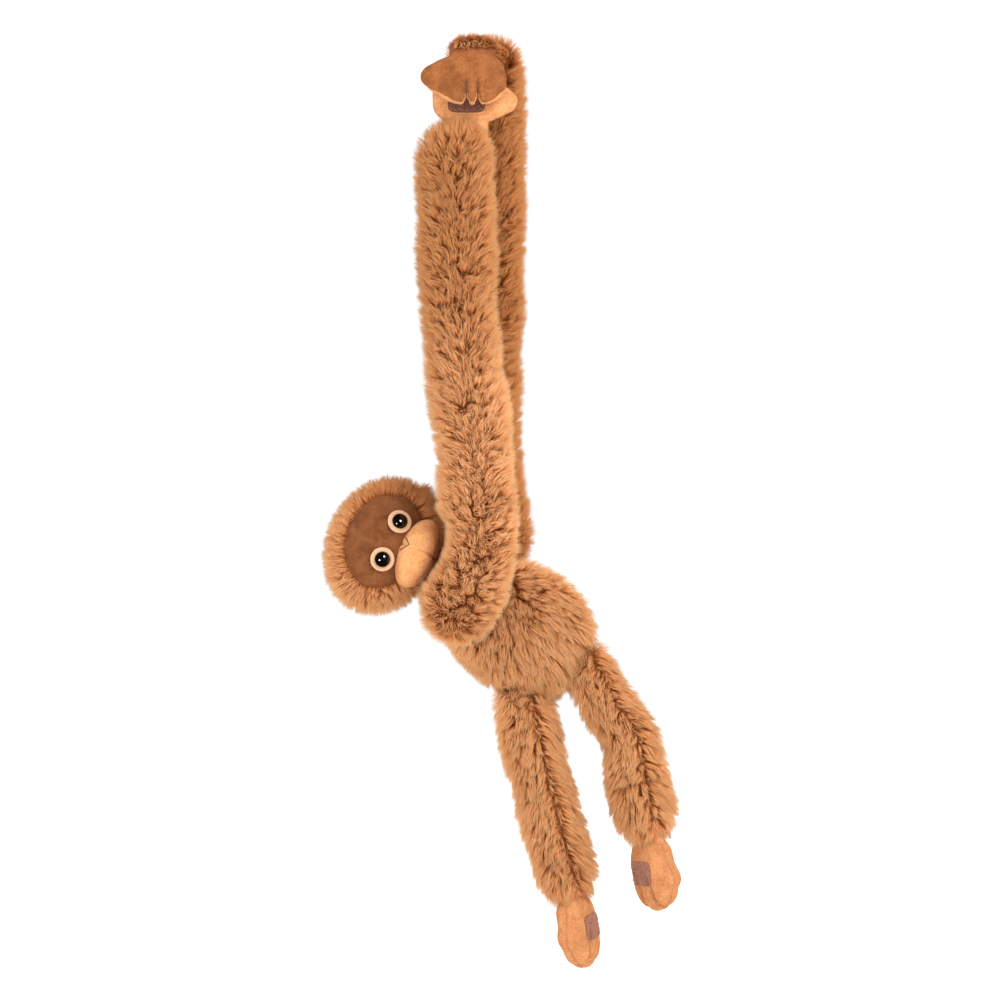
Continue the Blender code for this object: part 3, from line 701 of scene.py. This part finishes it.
def leg(side):
    """One leg's skin and fur, the fur in three pieces about the knee."""
    thigh, shin = side + "_thigh", side + "_shin"
    hip, knee, ankle = (pivot(f"{side}_{j}") for j in ("hip", "knee", "ankle"))
    sections = straight_sections(Cutter(thigh + "_cover"), hip, knee)
    sections += straight_sections(Cutter(shin + "_cover"), knee, ankle)
    onward = unit(ankle - hip)
    bend, middle, roots, normals, place_along, direction = limb(
        side + "_leg_skin", (thigh, shin), (hip, knee), onward, KNEE_ZONE, sections, LEG_INSET)
    beside = (roots - middle) @ X_AXIS - 0.004
    parting = np.exp(-(beside / 0.0045) ** 2) * (normals[:, 1] < 0)
    flow = direction * 0.85 + np.outer(np.sign(beside) * parting * 0.9, X_AXIS)
    length = PILE["leg"] * (1 - 0.3 * np.exp(-(beside / 0.0020) ** 2) * (normals[:, 1] < 0))
    s = strands(roots, normals, flow, length, place_along, wild=0.40, gather=0.48, lock=0.0046)
    height = (roots - knee) @ onward
    limb_fur(f"{side}_leg_fur", ("upper", "knee", "lower"), s, height, KNEE_FUR, (thigh, shin), bend)


# -------------------- torso and neck


def hull_skin(body, inset, voxel):
    """A smooth closed skin a little inside the hull of a body's cover."""
    bm = bmesh.new()
    for p in points_of(body + "_cover"):
        bm.verts.new(p)
    made = bmesh.ops.convex_hull(bm, input=bm.verts)
    spare = {v for v in made["geom_interior"] + made["geom_unused"]
             if isinstance(v, bmesh.types.BMVert)}
    bmesh.ops.delete(bm, geom=list(spare), context="VERTS")
    mesh = bpy.data.meshes.new(body + "_skin")
    bm.to_mesh(mesh)
    bm.free()
    obj = place(mesh.name, mesh, BACKING)
    modify(obj, REMESH=dict(mode="VOXEL", voxel_size=voxel), SMOOTH=dict(iterations=12))
    co, normal = surface(obj.data)
    set_points(obj, co - normal * inset)
    return obj


def configure(thing, **values):
    for key, value in values.items():
        setattr(thing, key, value)


def evaluated(obj):
    return obj.evaluated_get(bpy.context.evaluated_depsgraph_get())


def modify(obj, **steps):
    """Replaces the mesh by what the given modifiers make of it, in order."""
    for kind, settings in steps.items():
        configure(obj.modifiers.new(kind, kind), **settings)
    mesh = bpy.data.meshes.new_from_object(evaluated(obj))
    obj.modifiers.clear()
    old = obj.data
    obj.data = mesh
    bpy.data.meshes.remove(old)
    mesh.name = obj.name
    mesh.shade_smooth()


def torso():
    """The trunk: fur flows from the shoulders down to the legs."""
    skin = hull_skin("torso", TORSO_INSET, 0.004)
    roughen(skin, 0.03, 0.002, 3.0)
    settle(skin, "torso", "long_pile", "torso_cover", "torso_stuffing")
    roots, normals = scatter(skin.data, STRANDS_PER_MM2)
    hips = (pivot("right_hip") + pivot("left_hip")) / 2
    down = unit(unit(hips - pivot("neck_nod")) + [0, 0, -1.2])
    flow = np.broadcast_to(down * 0.85, roots.shape)
    shoulder_slope = np.clip((roots[:, 2] - hips[2] - 0.075) / 0.035, 0, 1)
    shoulder_slope *= roots[:, 0] > pivot("neck_nod")[0]
    length = PILE["torso"] - 0.0085 * shoulder_slope
    s = strands(roots, normals, flow, length, roots[:, 2], wild=0.42, gather=0.48, lock=0.0048)
    s = off_muzzle(s)
    fur("torso_fur", s, "torso")


def neck():
    """A short furry collar between the head and the trunk."""
    skin = hull_skin("neck", 0.0005, 0.0025)
    settle(skin, "neck", "long_pile", "neck_cover")
    roots, normals = scatter(skin.data, STRANDS_PER_MM2)
    flow = np.broadcast_to(np.array([0, 0, -0.4]), roots.shape)
    length = np.full(len(roots), PILE["neck"])
    s = off_muzzle(strands(roots, normals, flow, length, roots[:, 2], wild=0.5))
    fur("neck_fur", s, "neck")


# -------------------- head


HEAD_UP = hinge("neck_turn")
HEAD_ACROSS = unit(middle_of("left_eye") - middle_of("right_eye"))
HEAD_AHEAD = unit(np.cross(HEAD_ACROSS, HEAD_UP))
HEAD_ACROSS = np.cross(HEAD_UP, HEAD_AHEAD)
HEAD_AXES = np.stack([HEAD_ACROSS, HEAD_UP, HEAD_AHEAD])
HEAD_MIDDLE = middle_of("head_cover", "face_panel")


def head_local(points):
    return (points - HEAD_MIDDLE) @ HEAD_AXES.T


HEAD_HALF = np.abs(head_local(points_of("head_cover", "face_panel"))).max(0)


def muzzle_room():
    """Centre of the muzzle's base and its reach across, up and ahead."""
    points = head_local(points_of("muzzle_cover"))
    low, high = points.min(0), points.max(0)
    centre = HEAD_MIDDLE + ((low + high) / 2 * [1, 1, 0] + [0.0010, 0, low[2]]) @ HEAD_AXES
    return centre, (high - low) / 2 * [1, 1, 0] + [0.0040, 0.0030, high[2] - low[2] + 0.002]


MUZZLE_AT, MUZZLE_REACH = muzzle_room()


def off_muzzle(s):
    """Shortens the strands that would lie over the muzzle, and drops those that still do."""
    for _ in range(5):
        over = over_muzzle(s["tip"]) | over_muzzle(s["mid"])
        for part in ("mid", "tip"):
            s[part][over] = s["root"][over] + (s[part][over] - s["root"][over]) * 0.82
    return only(s, ~(over_muzzle(s["tip"]) | over_muzzle(s["mid"])))


def over_muzzle(points):
    local = (points - MUZZLE_AT) @ HEAD_AXES.T
    inside = np.hypot(local[:, 0] / MUZZLE_REACH[0], local[:, 1] / MUZZLE_REACH[1]) < 0.96
    return inside & (local[:, 2] > 0)


def only(s, keep):
    return {key: values[keep] for key, values in s.items()}


def egg_rings(centre, axes, half, angles, count=48):
    """Rings of an ellipsoid at polar angles from its third axis."""
    return [oval(centre + axes[2] * half[2] * math.cos(a), axes[0], axes[1],
                 half[0] * math.sin(a), half[1] * math.sin(a), count=count) for a in angles]


def polar_angle(points, half):
    """Angle from straight ahead on the head's ellipsoid."""
    local = head_local(points) / half
    return np.arctan2(np.linalg.norm(local[:, :2], axis=1), local[:, 2])


def head():
    """Hood, face, muzzle and eyes."""
    face_rim = polar_angle(points_of("face_panel"), HEAD_HALF).max()
    half = HEAD_HALF - HEAD_INSET
    angles = np.linspace(0.06, math.pi - 0.06, 40)
    skin = loft("head_skin", egg_rings(HEAD_MIDDLE, HEAD_AXES, half, angles), BACKING)
    settle(skin, "head", "long_pile", "head_cover", "head_stuffing")
    face(face_rim)

    roots, normals = scatter(skin.data, STRANDS_PER_MM2 * 1.15)
    angle = polar_angle(roots, half)
    hood = angle > face_rim - 0.02
    roots, normals, angle = roots[hood], normals[hood], angle[hood]
    back = np.broadcast_to(-HEAD_AHEAD * 0.5, roots.shape)
    edge = np.clip((angle - face_rim) / 0.35, 0, 1)
    flow = back * edge[:, None]
    length = PILE["hood"] + 0.0015 * edge
    beside_arm = (roots[:, 0] > HEAD_MIDDLE[0] + 0.020) & (roots[:, 2] > HEAD_MIDDLE[2])
    length[beside_arm] += 0.0045
    s = strands(roots, normals, flow, length, roots[:, 2], wild=0.26, gather=0.45, lock=0.0032)
    # painted shade: the pile grows darker towards the top of the hood
    s["tint"] *= 1 - CROWN_PAINTED_SHADE * np.clip((roots[:, 2] - HEAD_MIDDLE[2] - 0.010) / 0.020, 0, 1)
    fur("head_fur", s, "head")
    muzzle()
    eyes()


def face(rim):
    """The short-pile face: a shallow sewn panel, with a tucked rim under the hood."""
    angles = np.linspace(0.03, rim + 0.06, 26)
    outer = egg_rings(HEAD_MIDDLE, HEAD_AXES, HEAD_HALF - 0.0005, angles, 96)
    inner = egg_rings(HEAD_MIDDLE, HEAD_AXES, HEAD_HALF - 0.0030, angles[::-1], 96)
    obj = loft("face", outer + inner, FACE)
    co, normal = surface(obj.data)
    local = head_local(co)
    shift = np.zeros(len(co))
    for sign in (-1, 1):
        socket = np.exp(-((local[:, 0] - sign * 0.014) ** 2 + (local[:, 1] + 0.001) ** 2) / 0.0105 ** 2)
        shift -= socket * 0.0008
    shift += soft_noise(co / 0.014) * 0.0008
    set_points(obj, co + normal * shift[:, None])
    settle(obj, "head", "face_velboa", "face_panel")


def inflate(obj, pinned, pressure, cap):
    """Blows the pad up as cloth, holding the pinned points, and keeps every move under the cap."""
    group = obj.vertex_groups.new(name="pinned")
    group.add([int(i) for i in pinned], 1.0, "REPLACE")
    before = read(obj.data.vertices, "co")
    cloth = obj.modifiers.new("cloth", "CLOTH")
    cloth.settings.effector_weights.gravity = 0
    cloth.collision_settings.use_self_collision = False
    configure(cloth.settings, quality=6, mass=0.3, use_pressure=True,
              uniform_pressure_force=pressure, vertex_group_mass="pinned")
    for number in range(1, 21):
        bpy.context.scene.frame_set(number)
    after = read(evaluated(obj).data.vertices, "co")
    obj.modifiers.clear()
    bpy.context.scene.frame_set(1)
    move = after - before
    length = np.linalg.norm(move, axis=1, keepdims=True)
    move *= np.minimum(1.0, cap / np.maximum(length, 1e-9))
    set_points(obj, before + move)
    obj.vertex_groups.clear()


def refine(obj):
    modify(obj, SMOOTH=dict(iterations=2, factor=0.5), SUBSURF=dict(levels=1, render_levels=1))


def rod(name, points, radius, material):
    """A closed round thread through points."""
    points = np.asarray(points, float)
    along = unit(np.gradient(points, axis=0))
    side = unit(np.cross(along, [0.31, 0.87, 0.38]))
    frames = zip(points, side, along)
    rings = [oval(p, s, np.cross(t, s), radius, radius, count=8) for p, s, t in frames]
    return loft(name, rings, material)


def stitch(name, line, radius, body, node):
    """A sewn line that stands for a stitch of the frame."""
    settle(rod(name, line, radius, THREAD), body, "thread", node)


def surface_of(obj):
    return BVHTree.FromObject(obj, bpy.context.evaluated_depsgraph_get())


def drape(tree, points, away, lift, start=0.03):
    """Each point dropped onto a surface from outside, along -away, then lifted by a little."""
    out = []
    for p, a in zip(points, np.broadcast_to(away, points.shape)):
        hit = tree.ray_cast(Vector(p + a * start), Vector(-a))
        out.append(np.array(hit[0]) + a * lift if hit[0] else p)
    return np.array(out)


def muzzle():
    """A puffy oval muzzle with a centre seam, nostril darts and a mouth line."""
    centre, reach = MUZZLE_AT, MUZZLE_REACH
    start = reach * 0.94
    obj = loft("muzzle", egg_rings(centre, HEAD_AXES, start, np.linspace(0.08, math.pi - 0.7, 24)), TAN)
    modify(obj, REMESH=dict(mode="VOXEL", voxel_size=0.0016))

    local = (read(obj.data.vertices, "co") - centre) @ HEAD_AXES.T
    seam = (np.abs(local[:, 0]) < 0.0009) & (local[:, 2] > 0.004)
    hidden = local[:, 2] < -0.002
    inflate(obj, np.nonzero(seam | hidden)[0], 3.0, 0.0022)
    refine(obj)
    co, normal = surface(obj.data)
    local = (co - centre) @ HEAD_AXES.T
    front = np.clip(local[:, 2] / 0.006, 0, 1)
    groove = np.exp(-(local[:, 0] / 0.0011) ** 2) * front * (0.0010 + 0.0006 * (local[:, 1] < 0))
    mouth_v = -reach[1] * MOUTH_DROP + MOUTH_BEND * local[:, 0] ** 2
    groove = groove + np.exp(-((local[:, 1] - mouth_v) / 0.0009) ** 2) * front * 0.0011
    set_points(obj, co - normal * groove[:, None])
    settle(obj, "head", "tan_velboa", "muzzle_cover", "muzzle_stuffing")

    tree = surface_of(obj)
    for side, sign in (("left", 1), ("right", -1)):
        t = np.linspace(0, 1, 7)
        local = in_plane(sign * (0.0002 + 0.0044 * t), reach[1] * (0.50 + 0.27 * t))
        line = drape(tree, centre + local @ HEAD_AXES, HEAD_AHEAD, 0.0001)
        stitch(side + "_nostril", line, 0.00042, "head", side + "_nostril_stitch")
    u = np.linspace(-0.0145, 0.0145, 31)
    local = in_plane(u, -reach[1] * MOUTH_DROP + MOUTH_BEND * u ** 2)
    line = drape(tree, centre + local @ HEAD_AXES, HEAD_AHEAD, 0.0)
    stitch("mouth", line, 0.00035, "head", "mouth_stitch")


def turned(name, base, normal, profile, material, count=48):
    """A round piece; profile holds (radius, height) from below to above."""
    side = unit(np.cross(normal, HEAD_UP))
    up = np.cross(normal, side)
    rings = [oval(base + normal * h, side, up, r, r, count=count) for r, h in profile]
    return loft(name, rings, material)


def spread(points, base, normal):
    """The height of points along a normal, and their greatest distance from it."""
    height = (points - base) @ normal
    return height, np.linalg.norm(points - base - np.outer(height, normal), axis=1).max()


def eyes():
    """Domed glossy eyes on felt rings."""
    for side in SIDES:
        cad = points_of(side + "_eye_ring")
        base = cad.mean(0)
        normal = unit(np.linalg.svd(cad - base)[2][2])
        normal = normal * np.sign(normal @ HEAD_AHEAD)
        height, radius = spread(cad, base, normal)
        radius, top = radius * 0.96, height.max()
        profile = [(radius * r, top * h) for r, h in RING_PROFILE]
        ring = turned(side + "_eye_felt", base, normal, profile, FELT)
        roughen(ring, 0.0012, 0.00016, 5.0)
        settle(ring, "head", "ring_felt", side + "_eye_ring", side + "_eye_washer")

        height, eye_r = spread(points_of(side + "_eye"), base, normal)
        eye_r, low, peak = eye_r * 1.06, top * 1.9, height.max() + 0.0004
        dome = [(eye_r * 0.9, top * 0.5), (eye_r, top * 1.3), (eye_r * 1.01, low)]
        for a in np.radians(range(8, 90, 7)):
            dome.append((eye_r * 1.01 * math.cos(a), low + (peak - low) * math.sin(a)))
        eye = turned(side + "_eye_dome", base, normal, dome, EYE, 64)
        settle(eye, "head", "eye_black", side + "_eye")


# -------------------- hands and feet

# Words in the frame, and fabrics.  fill is the share of the frame's palm height that a pad fills
# before it is blown up, beyond is how far the creases run past the stitches, in their own lengths,
# and cuff holds the half sizes of the tube before the pad.
KINDS = {
    "hand": dict(palm="palm", back="back", digit="finger", joint="wrist", limb="forearm",
                 front=PALM, behind=BACK, tape=HAND_TAPE, loop=HAND_LOOP,
                 fill=0.90, beyond=0.35, cuff=(0.0150, 0.0058)),
    "foot": dict(palm="sole", back="top", digit="toe", joint="ankle", limb="shin",
                 front=SOLE, behind=SOLE, tape=FOOT_TAPE, loop=FOOT_LOOP,
                 fill=1.04, beyond=0.80, cuff=(0.0145, 0.0068)),
}


class Pad:
    """The frame of a hand or a foot: across, towards the fingertips, and out of the palm."""

    def __init__(self, side, kind):
        vars(self).update(KINDS[kind])
        self.prefix = f"{side}_{kind}"
        self.joint, self.limb = f"{side}_{self.joint}", f"{side}_{self.limb}"
        self.digit = f"{self.prefix}_{self.digit}"
        palm, back = points_of(f"{self.prefix}_{self.palm}"), points_of(f"{self.prefix}_{self.back}")
        self.origin = pivot(self.joint)
        outward = unit(palm.mean(0) - back.mean(0))
        seam = palm[np.abs((palm - self.origin) @ outward) < 0.0015]
        normal = np.linalg.svd(seam - seam.mean(0))[2][2]
        self.out = normal * np.sign(normal @ outward)
        self.tips = unit(np.cross(self.out, hinge(self.joint)))
        self.tips *= np.sign((palm.mean(0) - self.origin) @ self.tips)
        self.across = np.cross(self.tips, self.out)
        self.axes = np.stack([self.across, self.tips, self.out])
        self.half = self.local(palm)[:, 2].max()
        self.trace(self.local(np.concatenate([palm, back])))

    def trace(self, local):
        """The outline as a smooth radius around the pad's middle."""
        self.middle = (local[:, 1].min() + local[:, 1].max()) / 2
        angle = np.arctan2(local[:, 1] - self.middle, local[:, 0])
        radius = np.hypot(local[:, 0], local[:, 1] - self.middle)
        self.angle = np.linspace(-math.pi, math.pi, 181)[:-1]
        apart = np.abs((angle[None] - self.angle[:, None] + math.pi) % (2 * math.pi) - math.pi)
        reach = np.where(apart < 0.045, radius[None], 0).max(1)
        known = reach > 0
        reach = np.interp(self.angle, self.angle[known], reach[known], period=2 * math.pi)
        for _ in range(5):
            reach = (np.roll(reach, 1) + reach * 2 + np.roll(reach, -1)) / 4
        self.radius = reach

    def local(self, points):
        return (points - self.origin) @ self.axes.T

    def world(self, local):
        return self.origin + np.asarray(local, float) @ self.axes

    def outline(self, share, height, inset=0.0):
        r = (self.radius - inset) * share
        u, v = r * np.cos(self.angle), self.middle + r * np.sin(self.angle)
        return self.world(in_plane(u, v, height))


def pad(p):
    """A hand or a foot: inflated panels, the side seam, stitched fingers and the fastening patch."""
    rings = []
    for a in np.radians(range(5, 180, 10)):
        height = -math.copysign(abs(math.cos(a)) ** 0.8, math.cos(a)) * p.fill
        rings.append(p.outline(math.sin(a) ** 0.55, height * p.half, 0.0010))
    obj = loft(p.prefix + "_pad", rings, p.front)
    obj.data.materials.append(p.behind)
    modify(obj, REMESH=dict(mode="VOXEL", voxel_size=0.0014))

    lines = []
    for k in (1, 2):
        ends = p.local(points_of(f"{p.digit}_stitch_{k}"))
        lines.append((ends[ends[:, 1].argmin(), :2], ends[ends[:, 1].argmax(), :2]))
    local = p.local(read(obj.data.vertices, "co"))
    sewn = np.min([line_distance(local[:, :2], *line) for line in lines], axis=0) < 0.0010
    inflate(obj, np.nonzero(sewn)[0], 4.0, 0.0022)
    refine(obj)

    co, normal = surface(obj.data)
    local = p.local(co)
    side_seam = np.exp(-(local[:, 2] / 0.0007) ** 2) * 0.0009
    wrinkle = soft_noise(co / 0.009) * 0.0007
    crease = np.zeros(len(co))
    for start, end in lines:
        apart = line_distance(local[:, :2], start, end + (end - start) * p.beyond)
        crease = np.maximum(crease, np.exp(-(apart / 0.0014) ** 2))
    deep = 0.0016 + 0.0020 * np.clip((local[:, 1] - lines[0][0][1]) / 0.010, 0, 1)
    shift = wrinkle - side_seam - crease * deep
    set_points(obj, co + normal * shift[:, None])
    middle = p.local(read(obj.data.polygons, "center"))
    low = -0.50 * p.half * np.clip((middle[:, 1] - p.middle) / 0.010, 0, 1)
    obj.data.polygons.foreach_set("material_index", (middle[:, 2] < low).astype(np.int32))
    obj.data.update()
    settle(obj, p.prefix, "tan_velboa", *(f"{p.prefix}_{n}" for n in (p.palm, p.back, "stuffing")))

    tree = surface_of(obj)
    for k, (start, end) in enumerate(lines):
        t = np.linspace(0, 1, 14)[:, None]
        flat = start * (1 - t) + end * t
        line = drape(tree, p.world(in_plane(*flat.T)), -p.out, 0.00005)
        stitch(f"{p.digit}_line_{k + 1}", line, 0.0004, p.prefix, f"{p.digit}_stitch_{k + 1}")
    seam(p, tree)
    patch(p, tree)


def line_distance(points, start, end):
    along = end - start
    t = np.clip(((points - start) @ along) / (along @ along), 0, 1)[:, None]
    return np.linalg.norm(points - start - along * t, axis=1)


def capsules(name, starts, ends, outward, radius, material):
    """Many short round stitches as one mesh."""
    along = unit(ends - starts)
    side = unit(np.cross(along, outward))
    cross = circles(side, np.cross(side, along), np.arange(5) * 2 * math.pi / 5)
    rings = []
    for share, size in ((0.0, 0.35), (0.15, 1.0), (0.85, 1.0), (1.0, 0.35)):
        centre = starts + (ends - starts) * share
        rings.append(centre[:, None] + cross * radius * size)
    corners = []
    for k in range(0, 15, 5):
        for i in range(5):
            j = (i + 1) % 5
            corners += [k + i, k + j, k + 5 + j, k + 5 + i]
    corners += [4, 3, 2, 1, 0, 15, 16, 17, 18, 19]
    sizes = [4] * 15 + [5, 5]
    mesh = mesh_of_copies(name, np.concatenate(rings, axis=1), np.array(corners), sizes)
    if signed_volume(mesh) < 0:
        mesh.flip_normals()
    return place(name, mesh, material)


def seam(p, tree):
    """A row of small stitches along the side seam."""
    rim = p.outline(1.0, 0.0)
    out = unit(rim - p.world([0, p.middle, 0]))
    hits = drape(tree, rim, out, 0.0, 0.02)
    step = np.linalg.norm(np.roll(hits, -1, 0) - hits, axis=1)
    run = np.concatenate([[0], np.cumsum(step)])
    count = int(run[-1] / 0.0024)
    at = np.arange(count) * run[-1] / count
    closed = np.concatenate([hits, hits[:1]])
    away = np.concatenate([out, out[:1]])

    def sample(values, s):
        return np.stack([np.interp(s, run, values[:, k]) for k in range(3)], 1)

    starts, ends = sample(closed, at), sample(closed, at + 0.0017)
    stitches = capsules(f"{p.prefix}_side_seam", starts, ends, sample(away, at), 0.00022, TAN_THREAD)
    settle(stitches, p.prefix, "thread")


def patch(p, tree):
    """The fastening tape on the palm or sole: a thin pad covered with short loops."""
    local = p.local(points_of(p.prefix + "_patch"))
    low, high = local.min(0), local.max(0)
    mid, half = (low + high) / 2, (high - low) / 2
    middle = p.world([mid[0], mid[1], 0])
    rings = []
    for share, lift in ((0.3, -1.2), (0.65, -1.2), (1.0, -1.2), (1.03, 0.2), (1.0, 0.8), (0.95, 1.1),
                        (0.8, 1.2), (0.6, 1.2), (0.4, 1.2), (0.2, 1.2)):
        ring = oval(middle, p.across, p.tips, half[0] * share, half[1] * share, power=5.0, count=64)
        rings.append(drape(tree, ring, p.out, lift * MM * 0.7))
    base = loft(p.prefix + "_patch_tape", rings, p.tape)
    settle(base, p.prefix, "patch_loop", p.prefix + "_patch")

    count = int(half[0] * half[1] * 4e6 * LOOPS_PER_MM2)
    u, v = (RNG.uniform(-0.95, 0.95, count) * h for h in half[:2])
    starts = drape(surface_of(base), p.world(in_plane(mid[0] + u, mid[1] + v)), p.out, 0.0)
    turn = RNG.uniform(0, 2 * math.pi, count)
    reach = np.stack([np.cos(turn), np.sin(turn), RNG.uniform(-0.1, 0.8, count)], 1) @ p.axes * 0.0009
    loops = capsules(p.prefix + "_patch_loops", starts, starts + reach, p.out, 0.00024, p.loop)
    settle(loops, p.prefix, "patch_loop")


# -------------------- cuffs


def cuff(p):
    """The short fabric tube from a sleeve's end to the hand or foot, hidden under the fur's edge."""
    end = p.origin + p.tips * 0.006
    folded = p.joint == "left_wrist"
    if folded:
        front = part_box("left_forearm_cover")[0].y
        start = np.array([p.origin[0], front + 0.008, 0.0055])
        bend = np.array([p.origin[0], p.origin[1] + 0.001, 0.0055])
    else:
        middle = middle_of(p.limb + "_cover")
        start = p.origin - p.tips * 0.015
        start = start + (middle - start) * [0.35, 0.35, 0]
        bend = p.origin - p.tips * 0.003
    rings = []
    for t in np.linspace(0, 1, 13):
        centre = start * (1 - t) ** 2 + bend * 2 * t * (1 - t) + end * t * t
        along = unit(2 * (1 - t) * (bend - start) + 2 * t * (end - bend))
        side_dir = unit(p.across - along * (p.across @ along))
        half = np.array(p.cuff) * min(1.0, 0.45 + 6 * min(t, 1 - t))
        rings.append(oval(centre, side_dir, np.cross(along, side_dir), *half, count=36))
    tube = loft(p.joint + "_cuff", rings, BACK if folded else p.front)
    hold = start + (bend - start) * 0.4
    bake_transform(tube)
    if folded:
        roots, normals = scatter(tube.data, STRANDS_PER_MM2)
        outside = (normals @ unit(np.array([0, -1, 1]))) > 0.15
        outside &= (roots[:, 2] > 0.0035) & (roots[:, 0] > p.origin[0] - 0.0105)
        roots, normals = roots[outside], normals[outside]
        onward = np.cross(X_AXIS, normals) * 2.2
        length = np.full(len(roots), PILE["wrist"])
        s = strands(roots, normals, onward, length, roots[:, 2], wild=0.45, gather=0.5)
        s["tint"] *= 0.5
        fur(p.joint + "_fur", s, p.limb, p.prefix, hold, end)


# -------------------- stage


def studio():
    """A pale floor, soft lights and the camera straight in front."""
    low, high = cad_box
    middle = (low + high) / 2
    height = high.z - low.z

    world = bpy.data.worlds.new("studio")
    world.use_nodes = True
    colour, strength = world.node_tree.nodes["Background"].inputs[:2]
    colour.default_value = (1.0, 1.0, 1.0, 1)
    strength.default_value = 1.06
    bpy.context.scene.world = world
    bpy.context.scene.view_settings.view_transform = "Standard"

    mesh = bpy.data.meshes.new("floor")
    bm = bmesh.new()
    bmesh.ops.create_circle(bm, cap_ends=True, segments=96, radius=height * 30)
    bm.to_mesh(mesh)
    bm.free()
    n = Nodes("floor_paint")
    paint = n.ramp(n.noise(0.4), ((0.3, (0.94, 0.94, 0.94)), (0.7, (0.96, 0.96, 0.96))))
    n.finish(paint, 0.9, Emission_Color=(1, 1, 1, 1), Emission_Strength=0.16)
    floor = place("floor", mesh, n.material)
    floor.location = (middle.x, middle.y, low.z - height * 0.03)
    floor.visible_glossy = False

    world.cycles_visibility.glossy = False
    for name, place_at, size, power in (
        ("key", (1.1, -1.7, 1.2), 1.1, 34),
        ("fill", (-1.5, -1.4, 0.3), 1.4, 13),
        ("back", (0.2, 1.6, 1.0), 1.2, 10),
        ("glint_right", (0.55, -1.3, 0.65), 0.42, 30),
        ("glint_left", (-0.75, -1.4, -0.35), 0.36, 20),
    ):
        light = bpy.data.lights.new(name, "AREA")
        light.energy = power
        light.size = size
        obj = link(name, light)
        obj.visible_diffuse = "glint" not in name
        obj.visible_glossy = "glint" in name
        obj.location = middle + Vector(place_at)
        obj.rotation_euler = (middle - obj.location).to_track_quat("-Z", "Y").to_euler()

    camera = bpy.data.cameras.new("camera")
    camera.lens = LENS
    wide = height * VIEW_HEIGHTS
    distance = wide * camera.lens / camera.sensor_width
    obj = link("camera", camera)
    obj.location = (CAMERA_X, middle.y - distance, middle.z + CAMERA_LIFT)
    obj.rotation_euler = (math.radians(90), 0, 0)
    bpy.context.scene.camera = obj


head()
neck()
torso()
for side in SIDES:
    arm(side)
    leg(side)
    for kind in KINDS:
        part = Pad(side, kind)
        pad(part)
        cuff(part)
studio()
